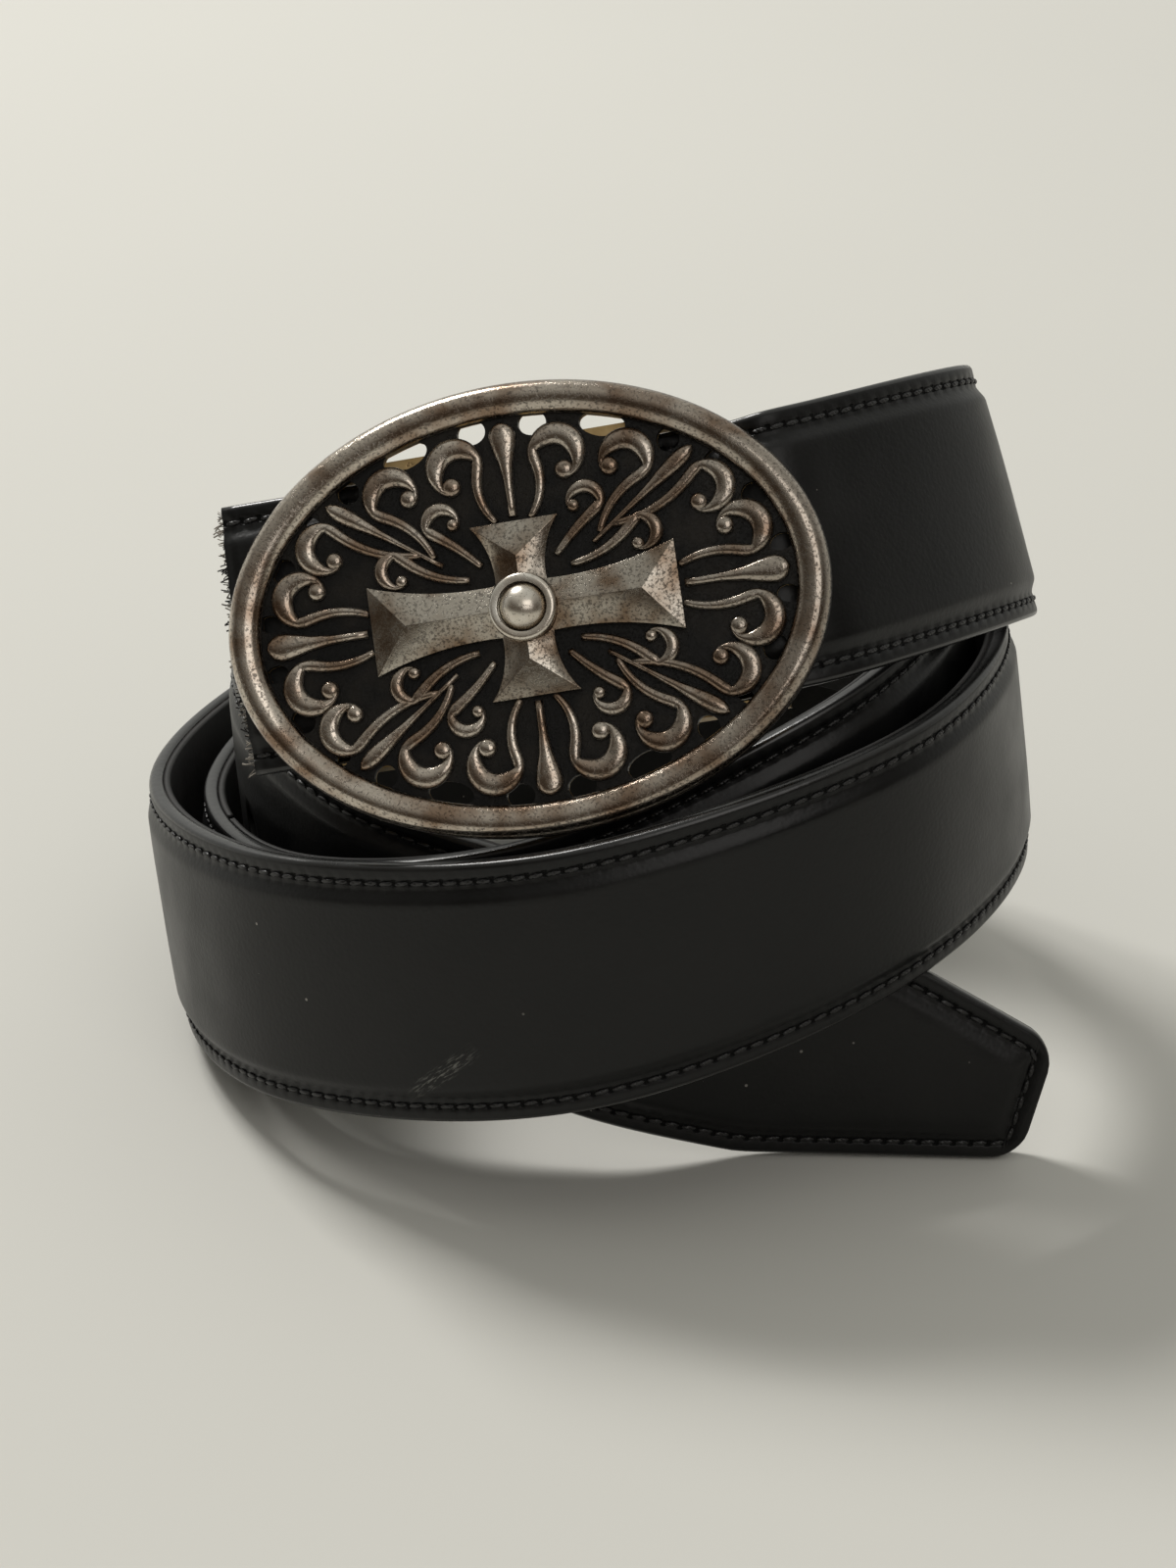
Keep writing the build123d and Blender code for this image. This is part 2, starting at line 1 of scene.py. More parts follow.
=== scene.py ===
"""A leather belt rolled into a standing coil, with an oval openwork plate buckle.

Lengths are metres and +Z is up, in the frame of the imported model. The file
follows the belt as it is put together: strap, stitching, buckle, clamp, and
then the floor, lamps and camera.
"""
from bisect import bisect_left
from math import atan2, cos, exp, hypot, pi, radians, sin, sqrt, tan

import bmesh
import bpy
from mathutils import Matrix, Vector, noise


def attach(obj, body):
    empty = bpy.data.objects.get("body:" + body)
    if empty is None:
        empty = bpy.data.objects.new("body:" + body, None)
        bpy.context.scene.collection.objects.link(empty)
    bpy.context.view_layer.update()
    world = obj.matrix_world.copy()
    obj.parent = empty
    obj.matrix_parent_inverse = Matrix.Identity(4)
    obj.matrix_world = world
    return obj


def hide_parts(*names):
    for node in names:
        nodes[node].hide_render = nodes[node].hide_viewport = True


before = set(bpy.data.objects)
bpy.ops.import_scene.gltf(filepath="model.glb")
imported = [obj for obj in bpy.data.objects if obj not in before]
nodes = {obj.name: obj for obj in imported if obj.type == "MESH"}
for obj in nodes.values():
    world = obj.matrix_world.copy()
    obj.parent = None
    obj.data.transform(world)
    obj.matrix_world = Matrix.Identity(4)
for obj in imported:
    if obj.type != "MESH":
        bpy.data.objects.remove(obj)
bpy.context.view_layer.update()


# ------------------------------------------------------------ face leather
# The strap's face is smooth black leather drawn over a padding strip. It is
# turned down to a flat border on both sides, and the border's edge is painted.
strap_half_width = 0.0190
strap_thickness = 0.0042
tip_length = 0.042
tip_taper = radians(15.2)
tip_soft = 0.006
tip_corner = 0.0042
mandrel_radius = 0.046
coil_axis = Vector((-0.0020, -0.0028, 0.0))
# One row per eighth of a turn from the front of the innermost turn: slack of
# the roll, strap widths of other turns below, lift, and lean in degrees.
lay = [
    (0.0004, 0.00, 0.0086, 0.0),
    (0.0011, 0.00, 0.0163, 2.0),
    (0.0020, 0.00, 0.0215, 4.0),
    (0.0034, 0.00, 0.0260, 3.0),
    (0.0059, 0.00, 0.0315, -1.0),
    (0.0079, 0.50, 0.0175, -6.0),
    (0.0094, 0.85, 0.0062, -10.0),
    (0.0099, 0.90, 0.0004, -10.0),
    (0.0030, 0.45, 0.0001, -3.0),
    (0.0031, 0.15, 0.0010, 3.5),
    (0.0024, 0.00, 0.0008, 5.5),
    (0.0047, 0.00, 0.00068, 6.5),
    (0.0087, 0.10, 0.0014, 5.0),
    (0.0117, 0.40, 0.0025, -5.0),
    (0.0121, 0.75, 0.0006, -8.0),
    (0.0126, 0.80, 0.0000, -3.0),
    (0.0096, 0.45, 0.0026, -5.0),
    (0.0061, 0.15, 0.0035, -2.0),
    (0.0063, 0.00, 0.0018, 6.5),
    (0.0095, 0.00, 0.0008, 8.0),
    (0.0125, 0.25, 0.0035, 8.0),
    (0.0129, 0.80, 0.0100, -2.5),
    (0.0044, 1.50, 0.0095, -19.0),
    (-0.0082, 1.70, 0.0085, -29.5),
]
rows_per_turn = 8
tail_run = 0.067
tail_turn_in = 0.0015
tail_belly_in = 0.0024
tail_tip_lift = -0.00027
tail_lean = -11.0
tail_belly_lean = tail_lean * 0.6
# The last stretch runs straight across under the buckle.
run_start = Vector((0.0254, -0.03856, 0.09055))
run_length = 0.0737
run_shares = (0.1, 0.45, 0.8, 1.0)
run_yaw = radians(4.6)
run_fall = radians(11.7)
run_lean = 29.0
run_direction = Vector((-cos(run_fall) * cos(run_yaw), cos(run_fall) * sin(run_yaw),
                        -sin(run_fall)))
steps_per_row = 22


def tip_cut(distance):
    """How much the taper takes off each edge at this distance from the tip."""
    inside = max(0.0, tip_length - distance)
    return tan(tip_taper) * inside * inside / (inside + tip_soft)


def half_width_at(distance):
    """Half the strap's width, with the tail tip's rounded corners."""
    half = strap_half_width - tip_cut(max(distance, 0.0))
    if distance < tip_corner:
        reach = tip_corner - max(distance, 0.0)
        half -= tip_corner - sqrt(max(tip_corner ** 2 - reach ** 2, 0.0))
    return half


def lay_rows():
    """Middle of the strap at each row: x, y, z and lean."""
    rows = []
    for index, (slack, tier, lift, lean) in enumerate(lay):
        angle = radians(-90 - 360 * index / rows_per_turn)
        radius = mandrel_radius + strap_thickness * index / rows_per_turn + slack
        height = lift + (tier + 0.5) * 2 * strap_half_width
        rows.append((radius * cos(angle), radius * sin(angle), height, lean))
    x, y, z, _ = rows[0]
    tip_z = tail_tip_lift + strap_half_width - tip_cut(0.0)
    tail = [
        (x + tail_run, y + tail_turn_in, tip_z, tail_lean),
        (x + tail_run / 2, y + tail_belly_in, (z + tip_z) / 2, tail_belly_lean),
    ]
    run = [(*(run_start + run_direction * (run_length * share)), -run_lean) for share in run_shares]
    return tail + rows + run


def blend(before, start, end, after, share):
    """Smooth curve from start to end that also heeds the rows outside them."""
    linear = end - before
    square = 2 * before - 5 * start + 4 * end - after
    cube = 3 * (start - end) + after - before
    return start + 0.5 * share * (linear + share * (square + share * cube))


def neighbours(items, index):
    """The items before and after one, or that one itself at an end."""
    return items[max(index - 1, 0)], items[min(index + 1, len(items) - 1)]


def strap_route(steps):
    """Places, ways across and outwards, and distances along the strap."""
    rows = lay_rows()
    lead = tuple(2 * a - b for a, b in zip(rows[0], rows[1]))
    trail = tuple(2 * a - b for a, b in zip(rows[-1], rows[-2]))
    rows = [lead] + rows + [trail]
    points = []
    for index in range(1, len(rows) - 2):
        near = rows[index - 1:index + 3]
        for step in range(steps):
            points.append([blend(*(row[i] for row in near), step / steps) for i in range(4)])
    points.append(list(rows[-2]))
    route = []
    distance = 0.0
    for index, (x, y, z, lean) in enumerate(points):
        before, after = neighbours(points, index)
        ahead = (Vector(after[:3]) - Vector(before[:3])).normalized()
        level_out = Vector((-ahead.y, ahead.x, 0.0)).normalized()
        upright = ahead.cross(level_out)
        if upright.z < 0:
            upright = -upright
        tilt = radians(lean)
        across = upright * cos(tilt) + level_out * sin(tilt)
        outward = level_out * cos(tilt) - upright * sin(tilt)
        if index:
            distance += (Vector(points[index][:3]) - Vector(points[index - 1][:3])).length
        route.append((Vector((x, y, z)) + coil_axis, across, outward, distance))
    return route


route = strap_route(steps_per_row)
route_distances = [station[3] for station in route]
strap_length = route_distances[-1]


def strap_frame(distance):
    """Place, way across and way out of the strap's middle at a distance."""
    after = min(max(bisect_left(route_distances, distance), 1), len(route) - 1)
    first, second = route[after - 1], route[after]
    share = (distance - first[3]) / (second[3] - first[3])
    return [a.lerp(b, share) for a, b in zip(first[:3], second[:3])]


def over_strap(station, across_at, height):
    """Place beside and over the strap's middle, at a station of strap_frame."""
    place, across, outward = station
    return place + across * across_at + outward * height


# Heights over the strap's middle, and ways in from its edge.
face_inner = -0.0010
border_level = 0.00118
border_width = 0.0034
pad_level = 0.00205
pad_crown = 0.00020
pad_slope = 0.0022
pad_half_width = 0.0145
edge_rounding = 0.0009
edge_drop = 0.0008
stitch_inset = 0.0025
stitch_pitch = 0.0025
stitch_level = border_level + 0.00004
# Way in from the edge, depth and half width of the sewn groove and of the
# crease beside the padding.
pressed_lines = [(stitch_inset, 0.00016, 0.00035), (border_width, 0.00008, 0.00030)]
# Faint waves of the padded middle: height, waves per metre both ways, and the
# ways in from the edge where they begin and are full.
ripple_height = 0.00009
ripple_along = 55
ripple_across = 90
ripple_seed = 3.1
ripple_start = 0.003
ripple_full = 0.006
# The stitch line's points: spacing, the end short of the raw cut, the last
# one before the tip, and then way ahead and way in where the line turns there.
line_step = 0.0015
line_end = 0.004
line_tip = 0.0036
line_turn = [(0.0029, 0.0006), (0.00255, 0.0014), (0.0025, 0.0024)]
line_inset = stitch_inset * 1.03


def stitch_line():
    """Distance from the tip, side, place and way out at each point of the line."""
    count = int((strap_length - line_end) / line_step)
    distances = [line_tip + line_step * index for index in range(count, -1, -1)]
    path = [(d, half_width_at(d) - line_inset) for d in distances]
    last = path[-1][1]
    path += [(d, last - inward) for d, inward in line_turn]
    path += [(d, -at) for d, at in reversed(path)]
    line = []
    for distance, across_at in path:
        station = strap_frame(distance)
        spot = over_strap(station, across_at, stitch_level)
        line.append((distance, 1 if across_at > 0 else -1, spot, station[2]))
    return line


def stitch_marks(line):
    """Run along the stitch line at each distance on both sides, and its length."""
    marks = {1: [], -1: []}
    run = 0.0
    before = line[0][2]
    for distance, side, spot, _ in line:
        run += (spot - before).length
        before = spot
        marks[side].append((distance, run))
    return {side: sorted(found) for side, found in marks.items()}, run


sewing_line = stitch_line()
sewing_marks, sewing_run = stitch_marks(sewing_line)
stitch_count = int(sewing_run / stitch_pitch) + 1


def run_beside(side, distance):
    """Run along the stitch line on one side at a distance from the tip."""
    found = sewing_marks[side]
    at = min(max(bisect_left(found, (distance, 0.0)), 1), len(found) - 1)
    (start, run), (end, after) = found[at - 1], found[at]
    return run + (after - run) * (distance - start) / (end - start)


def smooth_step(value, start, end):
    """Share from 0 to 1 that leaves start and reaches end without a kink."""
    share = min(max((value - start) / (end - start), 0.0), 1.0)
    return share * share * (3 - 2 * share)


def face_height(from_edge, across_at):
    """Height of the face leather over the strap's middle."""
    height = border_level
    if from_edge < edge_rounding:
        drop = 1 - from_edge / edge_rounding
        height -= edge_drop * (1 - sqrt(1 - drop * drop))
    for inset, depth, half_width in pressed_lines:
        height -= depth * exp(-((from_edge - inset) / half_width) ** 2)
    rise = smooth_step(from_edge, border_width, border_width + pad_slope)
    crown = pad_crown * (1 - (across_at / pad_half_width) ** 2)
    return height + rise * (pad_level - border_level + crown)


def skin(mesh, rings, bands=None, smooth=True):
    """Faces between each ring of points and the next; bands gives their materials."""
    for near, far in zip(rings, rings[1:]):
        for index in range(len(near)):
            after = (index + 1) % len(near)
            face = mesh.faces.new((near[index], near[after], far[after], far[index]))
            face.smooth = smooth
            if bands:
                face.material_index = bands[index]


def capped(mesh, rings):
    """The two faces that close the ends of a skin."""
    return mesh.faces.new(rings[0]), mesh.faces.new(rings[-1])


def as_mesh(mesh, name):
    """Finished mesh data from a mesh under construction."""
    made = bpy.data.meshes.new(name)
    mesh.to_mesh(made)
    mesh.free()
    return made


def outward_mesh(mesh, name):
    """Finished mesh data with its faces pointing outwards."""
    bmesh.ops.recalc_face_normals(mesh, faces=mesh.faces)
    return as_mesh(mesh, name)


def loft(name, loops, bands, marks=None):
    """Closed tube through the loops; bands gives each strip's material.

    marks gives each point's place along and beside the stitch line.
    """
    mesh = bmesh.new()
    rings = [[mesh.verts.new(point) for point in loop] for loop in loops]
    mesh.verts.index_update()
    skin(mesh, rings, bands)
    for cap in capped(mesh, rings):
        cap.material_index = max(bands)
    if marks:
        layer = mesh.loops.layers.uv.new("stitch_line")
        for face in mesh.faces:
            for corner in face.loops:
                ring, point = divmod(corner.vert.index, len(loops[0]))
                corner[layer].uv = marks[ring][point]
    return outward_mesh(mesh, name)


def new_object(name, data, materials=()):
    """Object with this data and these materials, in the scene."""
    made = bpy.data.objects.new(name, data)
    bpy.context.scene.collection.objects.link(made)
    for material in materials:
        data.materials.append(material)
    return made


def settled(made):
    """Turn an object's modifiers into its own plain mesh."""
    seen = made.evaluated_get(bpy.context.evaluated_depsgraph_get())
    mesh = bpy.data.meshes.new_from_object(seen)
    made.modifiers.clear()
    made.data = mesh


def cut_away(made, cutter):
    """Subtract the cutter's solid from an object for good."""
    tool = new_object("cutter", cutter)
    cut = made.modifiers.new("cut", "BOOLEAN")
    cut.operation = "DIFFERENCE"
    cut.solver = "EXACT"
    cut.object = tool
    settled(made)
    bpy.data.objects.remove(tool)


def on_belt(made, node=None):
    """Let a finished piece ride on the belt, in a node's place if it has one."""
    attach(made, "belt")
    if node:
        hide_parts(node)


def feed(node, inputs):
    """Set inputs to plain values, or from sockets or the first outputs of nodes."""
    for label, value in inputs.items():
        if isinstance(value, bpy.types.Node):
            value = value.outputs[0]
        if isinstance(value, bpy.types.NodeSocket):
            node.id_data.links.new(value, node.inputs[label])
        else:
            node.inputs[label].default_value = value


def added(tree, kind, inputs=None, **settings):
    """New node of a kind, with its settings and its inputs."""
    node = tree.nodes.new(kind)
    for label, value in settings.items():
        setattr(node, label, value)
    feed(node, inputs or {})
    return node


def maths(tree, operation, first, second=None, clamp=False):
    """Maths node on sockets, nodes or plain numbers."""
    values = {0: first} if second is None else {0: first, 1: second}
    return added(tree, "ShaderNodeMath", values, operation=operation, use_clamp=clamp)


def remap(tree, value, low, high, to_low=0.0, to_high=1.0):
    """Value carried from one range over to another, and kept inside it."""
    return added(tree, "ShaderNodeMapRange", {
        "Value": value,
        "From Min": low,
        "From Max": high,
        "To Min": to_low,
        "To Max": to_high,
    })


def speckle(tree, place, scale, detail=2.0, roughness=0.5):
    """Noise texture at a scale; scale may be a socket or a number."""
    values = {"Vector": place, "Scale": scale, "Detail": detail, "Roughness": roughness}
    return added(tree, "ShaderNodeTexNoise", values)


def mixed(tree, share, first, second):
    """Colour mix; first and second are colours or sockets."""
    first, second = ((*c, 1.0) if isinstance(c, tuple) else c for c in (first, second))
    values = {0: share, 6: first, 7: second}
    return added(tree, "ShaderNodeMix", values, data_type="RGBA").outputs[2]


def along_way(tree, place, middle, way):
    """Distance of a place from a point, measured along a direction."""
    shift = added(tree, "ShaderNodeVectorMath", {0: place, 1: middle}, operation="SUBTRACT")
    values = {0: shift, 1: way}
    return added(tree, "ShaderNodeVectorMath", values, operation="DOT_PRODUCT").outputs["Value"]


def bumped(tree, height, depth):
    """Bumped normal from a height, with the bump's depth in metres."""
    return added(tree, "ShaderNodeBump", {"Height": height, "Distance": depth})


def on_object(tree):
    """Place on the piece, in the belt's own frame."""
    return added(tree, "ShaderNodeTexCoord").outputs["Object"]


def shared_effect(name, inputs, outputs):
    """Shader group with named values in and out: the group, its inputs, its end."""
    group = bpy.data.node_groups.new(name, "ShaderNodeTree")
    group.interface.new_socket("Place", in_out="INPUT", socket_type="NodeSocketVector")
    for label, value in inputs.items():
        made = group.interface.new_socket(label, in_out="INPUT", socket_type="NodeSocketFloat")
        made.default_value = value
    for label in outputs:
        group.interface.new_socket(label, in_out="OUTPUT", socket_type="NodeSocketFloat")
    return group, group.nodes.new("NodeGroupInput").outputs, group.nodes.new("NodeGroupOutput")


def placed_group(tree, group, values):
    """The outputs of a shared effect, on object coordinates, with its values."""
    inputs = {"Place": on_object(tree), **values}
    return added(tree, "ShaderNodeGroup", inputs, node_tree=group).outputs


def leather_grain_group():
    """Fine calf grain: closed pores between small rounded cells."""
    inputs = {"Cell Size": 0.0006, "Unevenness": 0.5}
    group, given, end = shared_effect("leather_grain", inputs, ["Height", "Cloud"])
    place = given["Place"]
    cells = added(group, "ShaderNodeTexVoronoi", {
        "Vector": place,
        "Scale": maths(group, "DIVIDE", 1.0, given["Cell Size"]),
    }, feature="SMOOTH_F1")
    cloud = speckle(group, place, scale=90.0, detail=3.0)
    fine = speckle(group, place, scale=2600.0)
    pores = maths(group, "MULTIPLY", cells, -0.6)
    height = maths(group, "ADD", pores, maths(group, "MULTIPLY", cloud, given["Unevenness"]))
    height = maths(group, "ADD", height, maths(group, "MULTIPLY", fine, 0.25))
    feed(end, {"Height": height, "Cloud": cloud})
    return group


def settled_dust_group():
    """Sparse pale specks of dust and lint."""
    inputs = {"Speck Spacing": 0.0055, "Speck Size": 0.03}
    group, given, end = shared_effect("settled_dust", inputs, ["Mask"])
    cells = added(group, "ShaderNodeTexVoronoi", {
        "Vector": given["Place"],
        "Scale": maths(group, "DIVIDE", 1.0, given["Speck Spacing"]),
    })
    near = maths(group, "LESS_THAN", cells, given["Speck Size"])
    patches = remap(group, speckle(group, given["Place"], scale=45.0), 0.5, 0.62)
    feed(end, {"Mask": maths(group, "MULTIPLY", near, patches)})
    return group


def needle_group():
    """Needle holes and the pulled-in groove along a line of stitches.

    The stitch_line map holds the run along the line and the way from the edge.
    """
    inputs = {"Spacing": stitch_pitch, "Inset": stitch_inset}
    group, given, end = shared_effect("needle_holes", inputs, ["Holes", "Groove", "Pucker"])
    line = added(group, "ShaderNodeUVMap", uv_map="stitch_line")
    parts = added(group, "ShaderNodeSeparateXYZ", {0: line}).outputs
    phase = maths(group, "FRACT", maths(group, "DIVIDE", parts["X"], given["Spacing"]))
    from_hole = maths(group, "ABSOLUTE", maths(group, "SUBTRACT", phase, 0.5))
    beside = maths(group, "ABSOLUTE", maths(group, "SUBTRACT", parts["Y"], given["Inset"]))
    holes = maths(group, "MULTIPLY", remap(group, from_hole, 0.09, 0.19, 1.0, 0.0),
                  remap(group, beside, 0.00030, 0.00055, 1.0, 0.0))
    pucker = maths(group, "MULTIPLY", remap(group, from_hole, 0.0, 0.4, 1.0, 0.0),
                   remap(group, beside, 0.0004, 0.0016, 1.0, 0.0))
    groove = remap(group, beside, 0.00025, 0.00090, 1.0, 0.0)
    feed(end, {"Holes": holes, "Groove": groove, "Pucker": pucker})
    return group


leather_grain = leather_grain_group()
settled_dust = settled_dust_group()
needle_holes = needle_group()
lint = (0.30, 0.28, 0.26)
# Painted shade inside the needle holes: near black where the holes' own shadow falls.
painted_hole_shade = (0.0005, 0.0005, 0.0005)
# How deep the needle's marks press the leather in.
needle_depths = {"Holes": 0.00022, "Groove": 0.00006, "Pucker": 0.00010}


def new_finish(name):
    """New node material, with its tree and its main shader."""
    made = bpy.data.materials.new(name)
    made.use_nodes = True
    return made, made.node_tree, made.node_tree.nodes["Principled BSDF"]


def leather(name, dark, light, roughness, grain_depth, cell_size, dusty=0.0, sheen=0.29,
            stitched=False):
    """Dyed leather with grain, uneven gloss and a little dust."""
    made, tree, shader = new_finish(name)
    grain = placed_group(tree, leather_grain, {"Cell Size": cell_size})
    dust = placed_group(tree, settled_dust, {"Speck Size": dusty})
    colour = mixed(tree, remap(tree, grain["Cloud"], 0.35, 0.7), dark, light)
    colour = mixed(tree, dust["Mask"], colour, lint)
    relief = maths(tree, "MULTIPLY", grain["Height"], grain_depth)
    rough = remap(tree, grain["Cloud"], 0.3, 0.75, roughness - 0.06, roughness + 0.07)
    if stitched:
        spacing = sewing_run / (stitch_count - 1)
        sewn = placed_group(tree, needle_holes, {"Spacing": spacing, "Inset": stitch_inset})
        # The needle holes are coloured with painted shade.
        colour = mixed(tree, sewn["Holes"], colour, painted_hole_shade)
        for label, depth in needle_depths.items():
            pressed = maths(tree, "MULTIPLY", sewn[label], depth)
            relief = maths(tree, "SUBTRACT", relief, pressed)
        groove = maths(tree, "MULTIPLY", sewn["Groove"], 0.6)
        rough = maths(tree, "MAXIMUM", rough, maths(tree, "MAXIMUM", sewn["Holes"], groove))
    feed(shader, {
        "Base Color": colour,
        "Roughness": rough,
        "Specular IOR Level": sheen,
        "Normal": bumped(tree, relief, 1.0),
    })
    return made


def scuffed(material, first, last, outward, half_width, worn):
    """Faint streaky scuff on a leather, from one place to another."""
    tree = material.node_tree
    colour_input = tree.nodes["Principled BSDF"].inputs["Base Color"]
    colour = colour_input.links[0].from_socket
    place = on_object(tree)
    middle = (first + last) / 2
    run = last - first
    ahead = along_way(tree, place, middle, run.normalized())
    aside = along_way(tree, place, middle, outward.cross(run).normalized())
    depth = maths(tree, "ABSOLUTE", along_way(tree, place, middle, outward))
    mask = remap(tree, depth, 0.0015, 0.0025, 1.0, 0.0)
    for way, reach in ((ahead, run.length / 2), (aside, half_width)):
        share = maths(tree, "ABSOLUTE", maths(tree, "DIVIDE", way, reach))
        mask = maths(tree, "MULTIPLY", mask, remap(tree, share, 0.3, 1.0, 1.0, 0.0))
    drawn_out = added(tree, "ShaderNodeCombineXYZ", {
        "X": maths(tree, "MULTIPLY", ahead, 0.15),
        "Y": aside,
    })
    streaks = speckle(tree, drawn_out, scale=3200.0, detail=3.0, roughness=0.6)
    mask = maths(tree, "MULTIPLY", mask, remap(tree, streaks, 0.50, 0.66))
    tree.links.new(mixed(tree, mask, colour, worn), colour_input)


face_finish = leather("black_face_leather", dark=(0.0030, 0.0032, 0.0034),
                      light=(0.0068, 0.0068, 0.0068), roughness=0.38, grain_depth=0.00004,
                      cell_size=0.00065, dusty=0.040, stitched=True)
scuffed(face_finish, first=Vector((-0.0255, -0.0635, 0.0182)),
        last=Vector((-0.0150, -0.0672, 0.0285)), outward=Vector((-0.398, -0.916, 0.057)),
        half_width=0.0015, worn=(0.17, 0.17, 0.155))
edge_finish = leather("black_edge_paint", dark=(0.004, 0.004, 0.004), light=(0.008, 0.008, 0.008),
                      roughness=0.29, grain_depth=0.00004, cell_size=0.0012, sheen=0.6)
cut_finish = leather("cut_leather_fibre", dark=(0.020, 0.018, 0.017), light=(0.060, 0.054, 0.050),
                     roughness=0.85, grain_depth=0.00030, cell_size=0.0004)

hole_radius = 0.0021
hole_count = 5
hole_pitch = 0.025
first_hole = 0.105
punch_reach = 0.006
punch_sides = 28


def punched(piece):
    """Punch the row of round holes near the tail through a layer of the strap."""
    drills = bmesh.new()
    turns = [2 * pi * i / punch_sides for i in range(punch_sides)]
    for index in range(hole_count):
        place, across, outward = strap_frame(first_hole + hole_pitch * index)
        along = across.cross(outward)
        rings = [
            [drills.verts.new(place + outward * out + across * (hole_radius * cos(turn))
                              + along * (hole_radius * sin(turn))) for turn in turns]
            for out in (-punch_reach, punch_reach)
        ]
        skin(drills, rings, smooth=False)
        capped(drills, rings)
    cut_away(piece, outward_mesh(drills, "punch"))


# Points of one loop: side and way in from the edge over the top, then way
# across and height under the border and in the hollow for the padding.
from_edge_stops = [0.0, 0.0001, 0.0003, 0.0006, 0.0009, 0.0014, 0.0019, 0.0022, 0.0025, 0.0028,
                   0.0031, 0.0034, 0.0037, 0.0041, 0.0046, 0.0051, 0.0056, 0.0063, 0.0075,
                   0.0095, 0.0120, 0.0150, 0.0190]
top_stops = [(1, stop) for stop in from_edge_stops]
top_stops += [(-1, stop) for stop in reversed(from_edge_stops[:-1])]
half_inside = [(0.0190, -0.0005), (0.0188, face_inner), (0.0146, face_inner), (0.0131, 0.00088)]
inner_stops = [(-at, height) for at, height in half_inside] + half_inside[::-1]
tip_margin = 0.0002


def face_loop(distance):
    """One closed loop of the face leather round the strap at a distance."""
    station = strap_frame(distance)
    half = half_width_at(distance)
    loop = []
    for side, stop in top_stops:
        across_at = side * half * (1 - stop / strap_half_width)
        from_edge = min(half - abs(across_at), distance + tip_margin)
        height = face_height(from_edge, across_at)
        spot = Vector((distance * ripple_along, across_at * ripple_across, ripple_seed))
        rise = ripple_height * smooth_step(from_edge, ripple_start, ripple_full)
        height += rise * noise.noise(spot)
        loop.append(over_strap(station, across_at, height))
    for at, height in inner_stops:
        loop.append(over_strap(station, at * half / strap_half_width, height))
    return loop


def loop_marks(distance):
    """Place along and beside the stitch line for each point of a loop."""
    half = half_width_at(distance)
    marks = []
    for side, stop in top_stops:
        from_edge = half * stop / strap_half_width
        marks.append((run_beside(side, distance), min(from_edge, distance + tip_margin)))
    return marks + [(0.0, 1.0)] * len(inner_stops)


# Distances from the tip of every loop, close together round its corners.
stations = [0.0, 0.0002, 0.0006, 0.0011, 0.0017, 0.0024, 0.0031, 0.0038, 0.0046, 0.0056,
            0.0068, 0.0082, 0.0098]
plain_start = 0.0115
plain_length = strap_length - plain_start
loop_spacing = 0.0021
loop_count = round(plain_length / loop_spacing)
stations += [plain_start + plain_length * i / loop_count for i in range(loop_count + 1)]
# Strips of one loop: 0 is dyed face, 1 painted edge and 2 raw fibre.
painted = 3
face_bands = [1] * painted + [0] * (len(top_stops) - 1 - 2 * painted) + [1] * painted
face_bands += [1, 1] + [2] * (len(inner_stops) - 4) + [2, 1, 1]
face_mesh = loft("face_leather_surface", [face_loop(d) for d in stations], face_bands,
                 marks=[loop_marks(d) for d in stations])
face_piece = new_object("strap_face_leather", face_mesh, [face_finish, edge_finish, cut_finish])
punched(face_piece)
on_belt(face_piece, "face_leather")


# ---------------------------------------------------------- padding strip
# A strip of pale felted fibre lies between face and lining. It shows only at
# the strap's raw end, as a rough grey layer.
def refinish(node, material):
    """Give a kept node of the model its real finish."""
    nodes[node].data.materials.clear()
    nodes[node].data.materials.append(material)


refinish("padding_strip", leather("padding_fibre", dark=(0.05, 0.045, 0.04),
                                  light=(0.12, 0.11, 0.10), roughness=0.9, grain_depth=0.00030,
                                  cell_size=0.0004))


# ----------------------------------------------------------------- lining
# The inner side is a smooth dark grey lining, glued on and trimmed flush just
# inside the painted edge.
lining_half = 0.0186
lining_outer = -0.0011
lining_inner = -0.0021
lining_bevel = 0.0003
lining_corners = [
    (lining_half, lining_outer), (-lining_half, lining_outer),
    (-lining_half, lining_inner + lining_bevel), (-lining_half + lining_bevel, lining_inner),
    (-0.010, lining_inner), (0.0, lining_inner), (0.010, lining_inner),
    (lining_half - lining_bevel, lining_inner), (lining_half, lining_inner + lining_bevel),
]


def lining_loop(distance):
    """One closed loop of the lining at a distance from the tip."""
    station = strap_frame(distance)
    share = half_width_at(distance) / strap_half_width
    return [over_strap(station, at * share, out) for at, out in lining_corners]


lining_finish = leather("dark_lining_leather", dark=(0.012, 0.0115, 0.011),
                        light=(0.022, 0.021, 0.020), roughness=0.58, grain_depth=0.00005,
                        cell_size=0.0009, dusty=0.028)
lining_mesh = loft("lining_surface", [lining_loop(d) for d in stations],
                   [0] * len(lining_corners))
lining_piece = new_object("strap_lining", lining_mesh, [lining_finish])
punched(lining_piece)
on_belt(lining_piece, "lining")


# -------------------------------------------------------------- stitching
# One line of black lockstitch runs 2.5 mm inside the edge down one side,
# round the tail tip and back. Each stitch sinks into its own small dent.
stitch_sizes = {
    "Pitch": stitch_pitch,
    "Stitch Length": 0.0021,
    "Thread Width": 0.00072,
    "Thread Height": 0.00050,
    "Slant": radians(4.0),
}
# How far the slant of a stitch may differ from the others, in radians.
stitch_stray = 0.05


